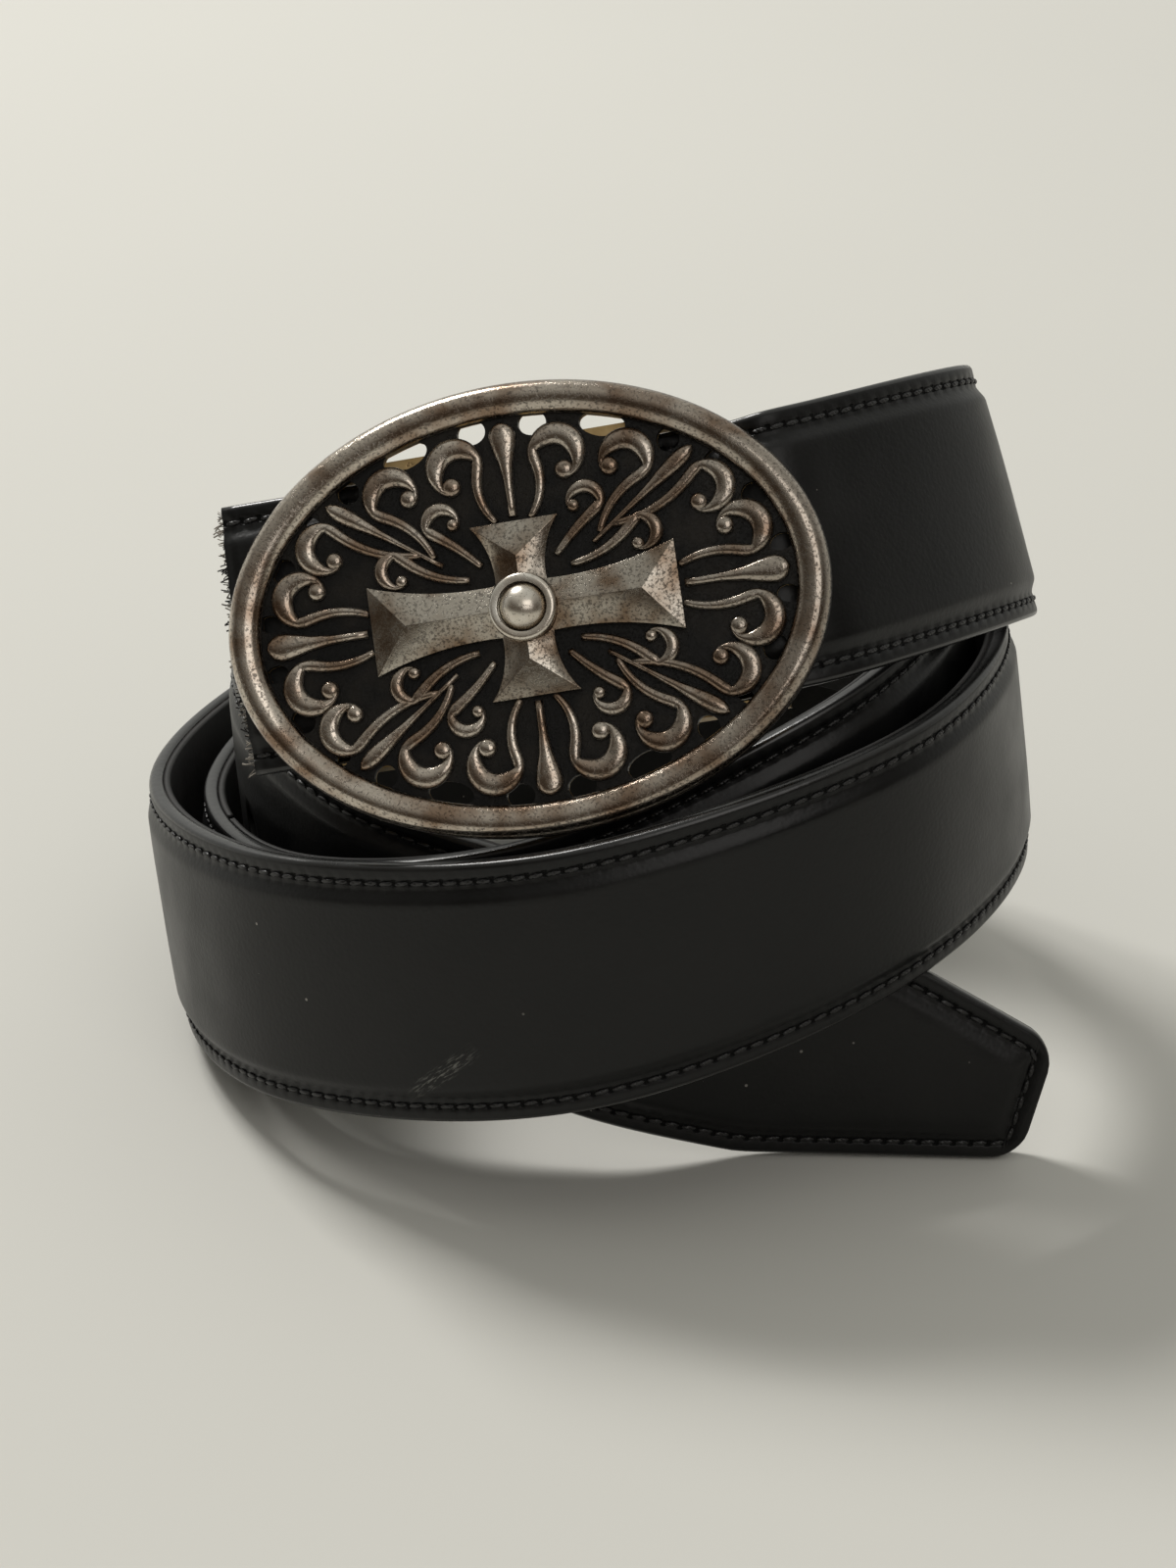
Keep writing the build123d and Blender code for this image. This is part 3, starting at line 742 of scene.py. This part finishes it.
def growing_tree(name, sizes, seed):
    """Geometry Nodes tree with inputs for sizes, a seed and a finish.

    Gives the tree, its inputs, its end, and the identifier of each input.
    """
    tree = bpy.data.node_groups.new(name, "GeometryNodeTree")
    wanted = [("Geometry", "Geometry", None)]
    wanted += [(label, "Float", value) for label, value in sizes.items()]
    wanted += [("Seed", "Int", seed), ("Finish", "Material", None)]
    sockets = {}
    for label, kind, value in wanted:
        kind = "NodeSocket" + kind
        made = tree.interface.new_socket(label, in_out="INPUT", socket_type=kind)
        if value is not None:
            made.default_value = value
        sockets[label] = made.identifier
    tree.interface.new_socket("Geometry", in_out="OUTPUT", socket_type="NodeSocketGeometry")
    given = tree.nodes.new("NodeGroupInput").outputs
    return tree, given, tree.nodes.new("NodeGroupOutput"), sockets


def drawn(tree, kind, low, high, seed):
    """Random number or vector between a low and a high one."""
    first = {"FLOAT_VECTOR": 0, "FLOAT": 2}[kind]
    values = {first: low, first + 1: high, "Seed": seed}
    return added(tree, "FunctionNodeRandomValue", values, data_type=kind).outputs[first // 2]


def turned(tree, before, angles):
    """Turn further by three angles, about the axes that are turned already."""
    values = {0: before, 1: added(tree, "FunctionNodeEulerToRotation", {0: angles})}
    return added(tree, "FunctionNodeRotateRotation", values, rotation_space="LOCAL")


def dressed(tree, instances, given, end):
    """Make instances real, give them the finish and end the tree with them."""
    real = added(tree, "GeometryNodeRealizeInstances", {"Geometry": instances})
    values = {"Geometry": real, "Material": given["Finish"]}
    feed(end, {"Geometry": added(tree, "GeometryNodeSetMaterial", values)})


def grown(made, name, tree, sockets, finish):
    """Grow a Geometry Nodes tree on an object and keep only its mesh."""
    growth = made.modifiers.new(name, "NODES")
    growth.node_group = tree
    growth[sockets["Finish"]] = finish
    settled(made)


def stitch_tree():
    """Stitches laid end to end along a line, with small random differences."""
    tree, given, end, sockets = growing_tree("lockstitch", stitch_sizes, seed=5)
    curve = added(tree, "GeometryNodeMeshToCurve", {"Mesh": given["Geometry"]})
    points = added(tree, "GeometryNodeCurveToPoints", {
        "Curve": curve,
        "Length": given["Pitch"],
    }, mode="LENGTH").outputs
    outward = added(tree, "GeometryNodeInputNamedAttribute", {"Name": "outward"},
                    data_type="FLOAT_VECTOR")
    along = added(tree, "FunctionNodeAlignRotationToVector", {"Vector": points["Tangent"]},
                  axis="X")
    upright = added(tree, "FunctionNodeAlignRotationToVector", {
        "Rotation": along,
        "Vector": outward,
    }, axis="Z", pivot_axis="X")
    stray = drawn(tree, "FLOAT", -stitch_stray, stitch_stray, given["Seed"])
    slant = added(tree, "ShaderNodeCombineXYZ", {"Z": maths(tree, "ADD", stray, given["Slant"])})
    bead = added(tree, "GeometryNodeMeshUVSphere", {"Segments": 8, "Rings": 6, "Radius": 0.5})
    bead = added(tree, "GeometryNodeTransform", {
        "Geometry": bead,
        "Rotation": (0.0, radians(90), 0.0),
    })
    size = added(tree, "ShaderNodeCombineXYZ", {
        "X": given["Stitch Length"],
        "Y": given["Thread Width"],
        "Z": given["Thread Height"],
    })
    stitch = added(tree, "GeometryNodeTransform", {"Geometry": bead, "Scale": size})
    laid = added(tree, "GeometryNodeInstanceOnPoints", {
        "Points": points["Points"],
        "Instance": added(tree, "GeometryNodeSetShadeSmooth", {"Geometry": stitch}),
        "Rotation": turned(tree, upright, slant),
    })
    dressed(tree, laid, given, end)
    return tree, sockets


def guide_line(name, line):
    """A line of points that carries the way out of the leather."""
    mesh = bpy.data.meshes.new(name)
    edges = [(i, i + 1) for i in range(len(line) - 1)]
    mesh.from_pydata([spot for _, _, spot, _ in line], edges, [])
    layer = mesh.attributes.new("outward", "FLOAT_VECTOR", "POINT")
    layer.data.foreach_set("vector", [value for *_, outward in line for value in outward])
    return new_object(name, mesh)


def thread_finish():
    """Waxed black thread with its twist as fine slanting ridges."""
    made, tree, shader = new_finish("black_waxed_thread")
    twist = added(tree, "ShaderNodeTexWave", {
        "Vector": on_object(tree),
        "Scale": 700.0,
        "Distortion": 1.5,
    }, bands_direction="DIAGONAL").outputs["Fac"]
    feed(shader, {
        "Base Color": mixed(tree, twist, (0.004, 0.004, 0.0045), (0.012, 0.0115, 0.012)),
        "Roughness": remap(tree, twist, 0.0, 1.0, 0.36, 0.5),
        "Normal": bumped(tree, twist, 0.00006),
    })
    return made


stitches = guide_line("edge_stitches", sewing_line)
grown(stitches, "sewing", *stitch_tree(), thread_finish())
on_belt(stitches, "edge_stitching")


# ---------------------------------------------------------- raw cut end
# The strap's other end was cut off rough, and short fibres of the leather
# and of the padding stand out from the cut.
fibre_sizes = {"Per Area": 2.6e6, "Length": 0.0016, "Thickness": 0.00011}
# Shortest and longest fibre as shares of the length, and how far they lean.
fibre_growth = (0.35, 1.1)
fibre_lean = 0.5
half_turn = 3.14
cut_half_width = 0.0184
cut_level = 0.0011


def fibre_tree():
    """Short bent fibres standing out of a cut face, each with its own length."""
    tree, given, end, sockets = growing_tree("cut_fibres", fibre_sizes, seed=11)
    spread = added(tree, "GeometryNodeDistributePointsOnFaces", {
        "Mesh": given["Geometry"],
        "Density": given["Per Area"],
        "Seed": given["Seed"],
    }).outputs
    bend = added(tree, "GeometryNodeCurveQuadraticBezier", {
        "Resolution": 4,
        "Start": (0.0, 0.0, -0.15),
        "Middle": (0.05, 0.0, 0.55),
        "End": (0.45, 0.1, 1.0),
    })
    scale = added(tree, "ShaderNodeCombineXYZ", {axis: given["Length"] for axis in "XYZ"})
    sized = added(tree, "GeometryNodeTransform", {"Geometry": bend, "Scale": scale})
    profile = added(tree, "GeometryNodeCurvePrimitiveCircle", {
        "Resolution": 4,
        "Radius": given["Thickness"],
    })
    fibre = added(tree, "GeometryNodeCurveToMesh", {
        "Curve": sized,
        "Profile Curve": profile,
        "Fill Caps": True,
    })
    swing = drawn(tree, "FLOAT_VECTOR", (-fibre_lean, -fibre_lean, -half_turn),
                  (fibre_lean, fibre_lean, half_turn), given["Seed"])
    planted = added(tree, "GeometryNodeInstanceOnPoints", {
        "Points": spread["Points"],
        "Instance": fibre,
        "Rotation": turned(tree, spread["Rotation"], swing),
        "Scale": drawn(tree, "FLOAT", *fibre_growth, given["Seed"]),
    })
    dressed(tree, planted, given, end)
    return tree, sockets


def wisp_finish():
    """Pale torn fibres among the dyed ones."""
    made, tree, shader = new_finish("cut_wisps")
    pale = remap(tree, speckle(tree, on_object(tree), scale=420.0), 0.46, 0.58)
    feed(shader, {
        "Base Color": mixed(tree, pale, (0.012, 0.011, 0.010), (0.34, 0.31, 0.27)),
        "Roughness": 0.85,
    })
    return made


cut_corners = [
    over_strap(strap_frame(strap_length), side * cut_half_width, level)
    for side, level in ((1, lining_inner), (1, cut_level), (-1, cut_level), (-1, lining_inner))
]
cut_mesh = bpy.data.meshes.new("cut_fibres")
cut_mesh.from_pydata(cut_corners, [], [(0, 1, 2, 3)])
if cut_mesh.polygons[0].normal.dot(run_direction) < 0:
    cut_mesh.flip_normals()
fibres = new_object("cut_end_fibres", cut_mesh)
grown(fibres, "growth", *fibre_tree(), wisp_finish())
on_belt(fibres)


# ------------------------------------------------------------ buckle plate
# The oval plate is one zinc casting: a rounded rim, a sunk ground with windows
# and raised scrolls. It is plated antique silver and rubbed back, so that the
# hollows stay dark, and its back and window walls have a brass tone.
plate_middle = Vector((-0.008197, -0.04271, 0.083327))
plate_along = Vector((0.976069, -0.078533, 0.202787))
plate_up = Vector((-0.137909, 0.497472, 0.856448))
plate_out = Vector((-0.16814, -0.863918, 0.474737))
ground_height = 0.0013


def on_plate(along, up, out):
    """Place of a point that is given in the plate's own plane."""
    return plate_middle + plate_along * along + plate_up * up + plate_out * out


def plate_level_group():
    """Millimetres over the plate's back, and along it from the middle."""
    group, given, end = shared_effect("plate_level", {"Unit": 0.001}, ["Level", "Along"])
    for label, way in (("Level", plate_out), ("Along", plate_along)):
        distance = along_way(group, given["Place"], plate_middle, way)
        feed(end, {label: maths(group, "DIVIDE", distance, given["Unit"])})
    return group


def tarnish_group():
    """Pits, dark specks and cloudy tarnish of an antiqued plating."""
    inputs = {"Speck Size": 0.0007, "Speck Amount": 0.5}
    group, given, end = shared_effect("tarnish", inputs, ["Specks", "Cloud", "Pits"])
    place = given["Place"]
    scale = maths(group, "DIVIDE", 1.0, given["Speck Size"])
    grain = speckle(group, place, scale, detail=4.0, roughness=0.65)
    over = maths(group, "SUBTRACT", grain, maths(group, "SUBTRACT", 1.0, given["Speck Amount"]))
    specks = maths(group, "MULTIPLY", over, 9.0, clamp=True)
    dents = speckle(group, place, scale=700.0, detail=3.0, roughness=0.6)
    feed(end, {
        "Specks": specks,
        "Cloud": speckle(group, place, scale=160.0, detail=3.0),
        "Pits": maths(group, "SUBTRACT", dents, maths(group, "MULTIPLY", specks, 0.6)),
    })
    return group


plate_level = plate_level_group()
tarnish = tarnish_group()
# Painted shade: the darker silver that the plate fades to towards one end.
painted_shade_silver = (0.13, 0.105, 0.085)
hollow_dark = (0.0018, 0.0015, 0.0012)
hollow_brown = (0.0110, 0.0088, 0.0064)
brass_back = (0.52, 0.36, 0.16)


def antique_silver(name, dark_below, bright_above, speck_amount, pit_depth, brown, rubbed,
                   smoothest):
    """Antiqued silver plating: dark in the hollows, bright where it is rubbed."""
    made, tree, shader = new_finish(name)
    level = placed_group(tree, plate_level, {"Unit": 0.001})
    worn = placed_group(tree, tarnish, {"Speck Size": 0.0004, "Speck Amount": speck_amount})
    raised = remap(tree, level["Level"], dark_below, bright_above)
    shade = maths(tree, "MULTIPLY", worn["Specks"], 0.6)
    clean = maths(tree, "SUBTRACT", raised, shade, clamp=True)
    silver = mixed(tree, remap(tree, worn["Cloud"], 0.38, 0.60), brown, rubbed)
    # Painted shade darkens the metal towards one end of the plate, and low walls show brass.
    painted_shade_share = remap(tree, level["Along"], -5.0, 42.0, 0.0, 0.45)
    silver = mixed(tree, painted_shade_share, silver, painted_shade_silver)
    hollow = mixed(tree, remap(tree, worn["Cloud"], 0.42, 0.62), hollow_dark, hollow_brown)
    back = remap(tree, level["Level"], 0.15, 0.35)
    coarse = maths(tree, "MULTIPLY", worn["Pits"], remap(tree, clean, 0.0, 0.6, 6.0, 1.0))
    feed(shader, {
        "Base Color": mixed(tree, back, brass_back, mixed(tree, clean, hollow, silver)),
        "Roughness": remap(tree, clean, 0.0, 1.0, 0.36, smoothest),
        "Metallic": remap(tree, clean, 0.0, 0.6),
        "Specular IOR Level": 0.30,
        "Normal": bumped(tree, coarse, pit_depth),
    })
    return made


plate_finish = antique_silver("antique_silver_plate", dark_below=1.5, bright_above=2.3,
                              speck_amount=0.495, pit_depth=0.000012, brown=(0.27, 0.19, 0.135),
                              rubbed=(0.55, 0.49, 0.42), smoothest=0.17)
plate_half_length = 0.0420
plate_half_height = 0.0312
rim_width = 0.0046
opening_x = plate_half_length - rim_width
opening_y = plate_half_height - rim_width
rim_steps = 168
# Way out from the opening and height over the back, round the rim's section.
rim_section = [
    (0.0000, 0.0000), (0.0000, 0.0019), (0.00012, 0.0024), (0.0005, 0.0029), (0.0011, 0.0033),
    (0.0019, 0.00355), (0.0027, 0.0036), (0.0034, 0.00345), (0.0040, 0.0030), (0.00442, 0.0023),
    (0.0046, 0.0015), (0.0046, 0.0005), (0.00445, 0.0001), (0.0041, 0.0000),
]
ground_sides = 120
ground_overlap = 0.0006
window_inset = 0.0012
window_depth = 0.0034
window_levels = (-0.001, 0.003)
window_sides = 28
# Place round the oval in degrees and length along the rim, in each quarter.
quarter_windows = [(8.0, 0.0024), (24.3, 0.0036), (39.5, 0.0018), (51.5, 0.0032),
                   (67.5, 0.0065), (83.2, 0.0040)]
# Curls of one quarter: centre as shares of the opening, radius, where the
# curl starts and how far it turns in degrees, and the root of its stem.
quarter_curls = [
    ((0.834, 0.233), 0.0040, -110, 275, (0.0217, 0.0026)),
    ((0.192, 0.780), 0.0041, 200, -275, (0.0024, 0.0123)),
    ((0.727, 0.474), 0.0038, 140, -270, (0.36 * opening_x, 0.36 * opening_y)),
    ((0.444, 0.692), 0.0040, -70, 270, (0.31 * opening_x, 0.33 * opening_y)),
    ((0.468, 0.301), 0.0028, 140, -260, (0.19 * opening_x, 0.19 * opening_y)),
    ((0.273, 0.511), 0.0028, -60, 260, (0.14 * opening_x, 0.25 * opening_y)),
]
curl_height = 0.0012
curl_swell = 0.50
curl_thinnest = 0.0004
curl_steps = 26
eye_share = 0.33
stem_half = 0.00085
stem_steps = 12
stem_handle = 0.36
root_share = 0.6
lead_angles = (24.0, 52.0)
# Drops: angle of the corner rays, height, gap to the rim, half widths, starts.
spray_angle = 35.5
drop_height = 0.0013
drop_gap = 0.0008
corner_half = 0.0012
corner_start = 0.4
axis_half = 0.0019
axis_start_x = 0.0222
axis_start_y = 0.0128
# Share of the half width and of the height, over a scroll's section.
ridge_section = [(1.0, -0.08), (1.0, 0.42), (0.86, 0.70), (0.50, 0.93), (0.0, 1.0),
                 (-0.50, 0.93), (-0.86, 0.70), (-1.0, 0.42), (-1.0, -0.08)]
full_ridge_half = 0.0011
thin_rise = 0.62
# Share of the way and of the half width, along a drop and up an eye.
drop_widths = [(0.0, 0.34), (0.12, 0.30), (0.35, 0.34), (0.55, 0.52), (0.70, 0.80),
               (0.80, 0.97), (0.87, 1.0), (0.93, 0.86), (0.97, 0.60), (1.0, 0.12)]
eye_widths = [(-0.1, 1.0), (0.45, 1.0), (0.78, 0.82), (0.95, 0.5)]
eye_sides = 12


def turned_rim(mesh):
    """The rounded rim as one closed ring."""
    rings = []
    for index in range(rim_steps):
        turn = 2 * pi * index / rim_steps
        rings.append([
            mesh.verts.new(on_plate((opening_x + reach) * cos(turn),
                                    (opening_y + reach) * sin(turn), out))
            for reach, out in rim_section
        ])
    skin(mesh, rings + rings[:1])


def crowned_ridge(mesh, path, halves, height):
    """A raised scroll along a path, with steep walls and a rounded crown."""
    rings = []
    for index, (x, y) in enumerate(path):
        before, after = neighbours(path, index)
        size = hypot(after[0] - before[0], after[1] - before[1])
        side = (-(after[1] - before[1]) / size, (after[0] - before[0]) / size)
        half = halves[index]
        rise = height * (thin_rise + (1 - thin_rise) * min(half / full_ridge_half, 1.0))
        rings.append([
            mesh.verts.new(on_plate(x + side[0] * at * half, y + side[1] * at * half,
                                    ground_height + out * rise))
            for at, out in ridge_section
        ])
    skin(mesh, rings)
    capped(mesh, rings)


def curl_path(centre, radius, start, sweep, root):
    """Points from the stem's root round the curl, with the ridge's half widths.

    The curl is a crescent: it swells in the middle and thins to both ends.
    """
    offset = curl_swell * radius
    half_gap = pi - radians(abs(sweep)) / 2
    hollow = sqrt(offset ** 2 + radius ** 2 - 2 * offset * radius * cos(half_gap))
    points = []
    curl_halves = []
    for index in range(curl_steps + 1):
        swept = abs(sweep) * index / curl_steps
        from_gap = half_gap + radians(swept)
        inner = offset * cos(from_gap) + sqrt(hollow ** 2 - (offset * sin(from_gap)) ** 2)
        lead = 1 - smooth_step(swept, *lead_angles)
        half = max((radius - inner) / 2, curl_thinnest, stem_half * lead)
        angle = radians(start + sweep * index / curl_steps)
        points.append((centre[0] + (radius - half) * cos(angle),
                       centre[1] + (radius - half) * sin(angle)))
        curl_halves.append(half)
    first = Vector(points[0])
    back = (first - Vector(points[1])).normalized()
    end = Vector(root)
    chord = end - first
    handle = chord.length * stem_handle
    chord.normalize()
    arrive = 2 * back.dot(chord) * chord - back
    stem = []
    for index in range(stem_steps, 0, -1):
        share = index / stem_steps
        spot = first * (1 - share) ** 3 + (first + back * handle) * 3 * share * (1 - share) ** 2
        spot += (end - arrive * handle) * 3 * share ** 2 * (1 - share) + end * share ** 3
        stem.append((spot.x, spot.y))
    stem_halves = [stem_half * (root_share + (1 - root_share) * index / stem_steps)
                   for index in range(stem_steps)]
    return stem + points, stem_halves + curl_halves


def drop_path(angle, start, end, half):
    """A slim drop along a ray, with a rounded outer end."""
    path = []
    for share, _ in drop_widths:
        reach = start + (end - start) * share
        path.append((reach * cos(radians(angle)), reach * sin(radians(angle))))
    return path, [half * width for _, width in drop_widths]


def oval_ring(mesh, half_x, half_y, out, steps, centre=(0.0, 0.0), turn=0.0):
    """Ring of points on an oval at a height over the plate's back."""
    ring = []
    for index in range(steps):
        x = half_x * cos(2 * pi * index / steps)
        y = half_y * sin(2 * pi * index / steps)
        ring.append(mesh.verts.new(on_plate(centre[0] + x * cos(turn) - y * sin(turn),
                                            centre[1] + x * sin(turn) + y * cos(turn), out)))
    return ring


def round_eye(mesh, centre, radius, top):
    """The ball at the inner end of a curl."""
    rings = [
        oval_ring(mesh, radius * size, radius * size, ground_height + top * level, eye_sides,
                  centre)
        for level, size in eye_widths
    ]
    crown = mesh.verts.new(on_plate(*centre, ground_height + top))
    skin(mesh, rings)
    for near, after in zip(rings[-1], rings[-1][1:] + rings[-1][:1]):
        mesh.faces.new((near, after, crown)).smooth = True
    mesh.faces.new(rings[0])


def four_ways(angle):
    """An angle mirrored into the four quarters."""
    return angle, 180 - angle, 180 + angle, 360 - angle


def plate_scrolls(mesh):
    """Every curl and drop, in all four quarters."""
    for share, radius, start, sweep, root in quarter_curls:
        centre = (share[0] * opening_x, share[1] * opening_y)
        path, halves = curl_path(centre, radius, start, sweep, root)
        turn = radians(start + sweep)
        from_middle = radius * (1 - eye_share)
        eye = (centre[0] + from_middle * cos(turn), centre[1] + from_middle * sin(turn))
        for flip_x in (1, -1):
            for flip_y in (1, -1):
                flipped = [(x * flip_x, y * flip_y) for x, y in path]
                crowned_ridge(mesh, flipped, halves, curl_height)
                round_eye(mesh, (eye[0] * flip_x, eye[1] * flip_y), radius * eye_share,
                          curl_height)
    ray = radians(spray_angle)
    corner = 1 / sqrt((cos(ray) / opening_x) ** 2 + (sin(ray) / opening_y) ** 2)
    drops = [(angle, corner_start * corner, corner, corner_half)
             for angle in four_ways(spray_angle)]
    drops += [(angle, axis_start_x, opening_x, axis_half) for angle in (0, 180)]
    drops += [(angle, axis_start_y, opening_y, axis_half) for angle in (90, 270)]
    for angle, start, end, half in drops:
        path, halves = drop_path(angle, start, end - drop_gap, half)
        crowned_ridge(mesh, path, halves, drop_height)


def oval_disc(mesh, half_x, half_y, levels, steps, centre=(0.0, 0.0), turn=0.0):
    """Flat oval slab between two levels over the plate's back."""
    rings = [oval_ring(mesh, half_x, half_y, out, steps, centre, turn) for out in levels]
    skin(mesh, rings, smooth=False)
    capped(mesh, rings)


def pierced_ground():
    """The sunk ground as a slab with its windows cut through."""
    slab = bmesh.new()
    oval_disc(slab, opening_x + ground_overlap, opening_y + ground_overlap,
              (0.0, ground_height), ground_sides)
    made = new_object("ground", outward_mesh(slab, "ground"))
    cutters = bmesh.new()
    half_x = opening_x - window_inset
    half_y = opening_y - window_inset
    for angle, length in quarter_windows:
        for at in four_ways(angle):
            x = half_x * cos(radians(at))
            y = half_y * sin(radians(at))
            slope = atan2(half_y * cos(radians(at)), -half_x * sin(radians(at)))
            oval_disc(cutters, length / 2, window_depth / 2, window_levels, window_sides,
                      (x, y), slope)
    cut_away(made, outward_mesh(cutters, "windows"))
    ground = made.data
    bpy.data.objects.remove(made)
    return ground


plate_mesh = bmesh.new()
turned_rim(plate_mesh)
plate_scrolls(plate_mesh)
bmesh.ops.recalc_face_normals(plate_mesh, faces=plate_mesh.faces)
plate_mesh.from_mesh(pierced_ground())
plate_piece = new_object("buckle_plate", as_mesh(plate_mesh, "buckle_plate"), [plate_finish])
on_belt(plate_piece, "buckle_casting")


# ------------------------------------------------------------ cross and boss
# A flared cross with a hipped roof on each arm lies on the ground. A washer
# ring and a domed rivet hold it, and all three are antiqued silver.
cross_finish = antique_silver("antique_silver_cross", dark_below=1.0, bright_above=2.2,
                              speck_amount=0.50, pit_depth=0.000014, brown=(0.20, 0.14, 0.095),
                              rubbed=(0.47, 0.43, 0.37), smoothest=0.19)
boss_finish = antique_silver("antique_silver_boss", dark_below=1.0, bright_above=3.4,
                             speck_amount=0.42, pit_depth=0.000012, brown=(0.66, 0.60, 0.52),
                             rubbed=(0.93, 0.90, 0.83), smoothest=0.27)
merge_distance = 1e-6


def softened(node, name, width, material):
    """A node's own shape with its sharp edges rounded over by wear."""
    mesh = bmesh.new()
    mesh.from_mesh(nodes[node].data)
    bmesh.ops.remove_doubles(mesh, verts=mesh.verts, dist=merge_distance)
    bmesh.ops.dissolve_degenerate(mesh, edges=mesh.edges, dist=merge_distance)
    piece = new_object(name, as_mesh(mesh, name), [material])
    worn = piece.modifiers.new("worn_edges", "BEVEL")
    worn.width = width
    worn.segments = 3
    worn.limit_method = "ANGLE"
    worn.angle_limit = radians(18)
    settled(piece)
    for face in piece.data.polygons:
        face.use_smooth = True
    piece.data.set_sharp_from_angle(angle=radians(50))
    on_belt(piece, node)


softened("cross", "worn_cross", 0.00028, cross_finish)
softened("boss_ring", "worn_boss_ring", 0.00010, boss_finish)
softened("boss_rivet", "worn_boss_rivet", 0.00005, boss_finish)


# ------------------------------------------------------------ clamp and hook
# Two guide rails are brazed to the back of the plate. A toothed flap swings
# on a steel pin between them and carries the riveted hook for the holes.
def brass():
    """Unpolished brass with a warm tarnish."""
    made, tree, shader = new_finish("tarnished_brass")
    worn = placed_group(tree, tarnish, {"Speck Size": 0.0011, "Speck Amount": 0.40})
    cloud = remap(tree, worn["Cloud"], 0.3, 0.7)
    base = mixed(tree, cloud, (0.50, 0.34, 0.15), (0.62, 0.46, 0.24))
    feed(shader, {
        "Base Color": mixed(tree, worn["Specks"], base, (0.16, 0.10, 0.05)),
        "Roughness": remap(tree, worn["Cloud"], 0.3, 0.7, 0.28, 0.42),
        "Metallic": 1.0,
        "Normal": bumped(tree, worn["Pits"], 0.00004),
    })
    return made


def steel():
    """Drawn steel wire with small rust specks."""
    made, tree, shader = new_finish("drawn_steel")
    worn = placed_group(tree, tarnish, {"Speck Size": 0.0006, "Speck Amount": 0.36})
    feed(shader, {
        "Base Color": mixed(tree, worn["Specks"], (0.55, 0.55, 0.56), (0.20, 0.18, 0.17)),
        "Roughness": remap(tree, worn["Cloud"], 0.3, 0.7, 0.26, 0.38),
        "Metallic": 1.0,
    })
    return made


brass_finish = brass()
for clamp_part in ("clamp_rail_upper", "clamp_rail_lower", "clamp_flap", "hook_prong"):
    refinish(clamp_part, brass_finish)
refinish("flap_pin", steel())


# ------------------------------------------------------- floor, lamps, camera
# A plain pale floor that runs into a pale background, a soft lamp high up
# behind to the left, a weak one in front, and a long lens above the belt.
floor_reach = 6.0


def floor_finish():
    """Smooth pale paper with faint clouds."""
    made, tree, shader = new_finish("pale_floor")
    cloud = speckle(tree, on_object(tree), scale=3.0)
    feed(shader, {
        "Base Color": mixed(tree, cloud, (0.58, 0.575, 0.54), (0.61, 0.605, 0.565)),
        "Roughness": 0.9,
    })
    return made


floor_mesh = bpy.data.meshes.new("floor")
floor_corners = [(x * floor_reach, y * floor_reach, 0.0)
                 for x, y in ((-1, -1), (1, -1), (1, 1), (-1, 1))]
floor_mesh.from_pydata(floor_corners, [], [(0, 1, 2, 3)])
new_object("floor", floor_mesh, [floor_finish()])


def aimed(made, place, target):
    """Stand a lamp or camera at a place, looking at a point."""
    made.location = place
    made.rotation_euler = (target - place).to_track_quat("-Z", "Y").to_euler()


def soft_lamp(name, place, target, size, power, colour):
    """Square soft lamp aimed at a point."""
    data = bpy.data.lights.new(name, "AREA")
    data.shape = "SQUARE"
    data.size = size
    data.energy = power
    data.color = colour
    aimed(new_object(name, data), Vector(place), Vector(target))


soft_lamp("window_lamp", place=(-0.95, 1.15, 1.80), target=(0.0, 0.0, 0.04), size=0.55,
          power=40.0, colour=(1.0, 0.98, 0.95))
soft_lamp("front_fill", place=(0.35, -1.1, 0.9), target=(0.0, 0.0, 0.05), size=0.9,
          power=3.4, colour=(1.0, 0.97, 0.94))

world = bpy.data.worlds.new("studio")
bpy.context.scene.world = world
world.use_nodes = True
sky = world.node_tree
way = added(sky, "ShaderNodeTexCoord").outputs["Generated"]
ways = added(sky, "ShaderNodeSeparateXYZ", {0: way}).outputs
behind = remap(sky, ways["Y"], -0.35, 0.5)
above = maths(sky, "MULTIPLY", remap(sky, ways["Z"], 0.38, 0.85), 0.8)
feed(sky.nodes["Background"], {
    "Color": mixed(sky, maths(sky, "MAXIMUM", behind, above), (0.11, 0.09, 0.07),
                   (0.80, 0.80, 0.75)),
    "Strength": 0.75,
})

camera_data = bpy.data.cameras.new("camera")
camera_data.sensor_fit = "VERTICAL"
camera_data.sensor_height = 36.0
camera_data.sensor_width = 27.0
camera_data.lens = 79.8
camera_aim = Vector((0.0, 0.0312, 0.0220))
camera_rise = radians(25.32)
camera_distance = 0.5685
camera = new_object("camera", camera_data)
camera_way = Vector((0.0, -cos(camera_rise), sin(camera_rise)))
aimed(camera, camera_aim + camera_way * camera_distance, camera_aim)
bpy.context.scene.camera = camera
bpy.context.scene.view_settings.view_transform = "Standard"
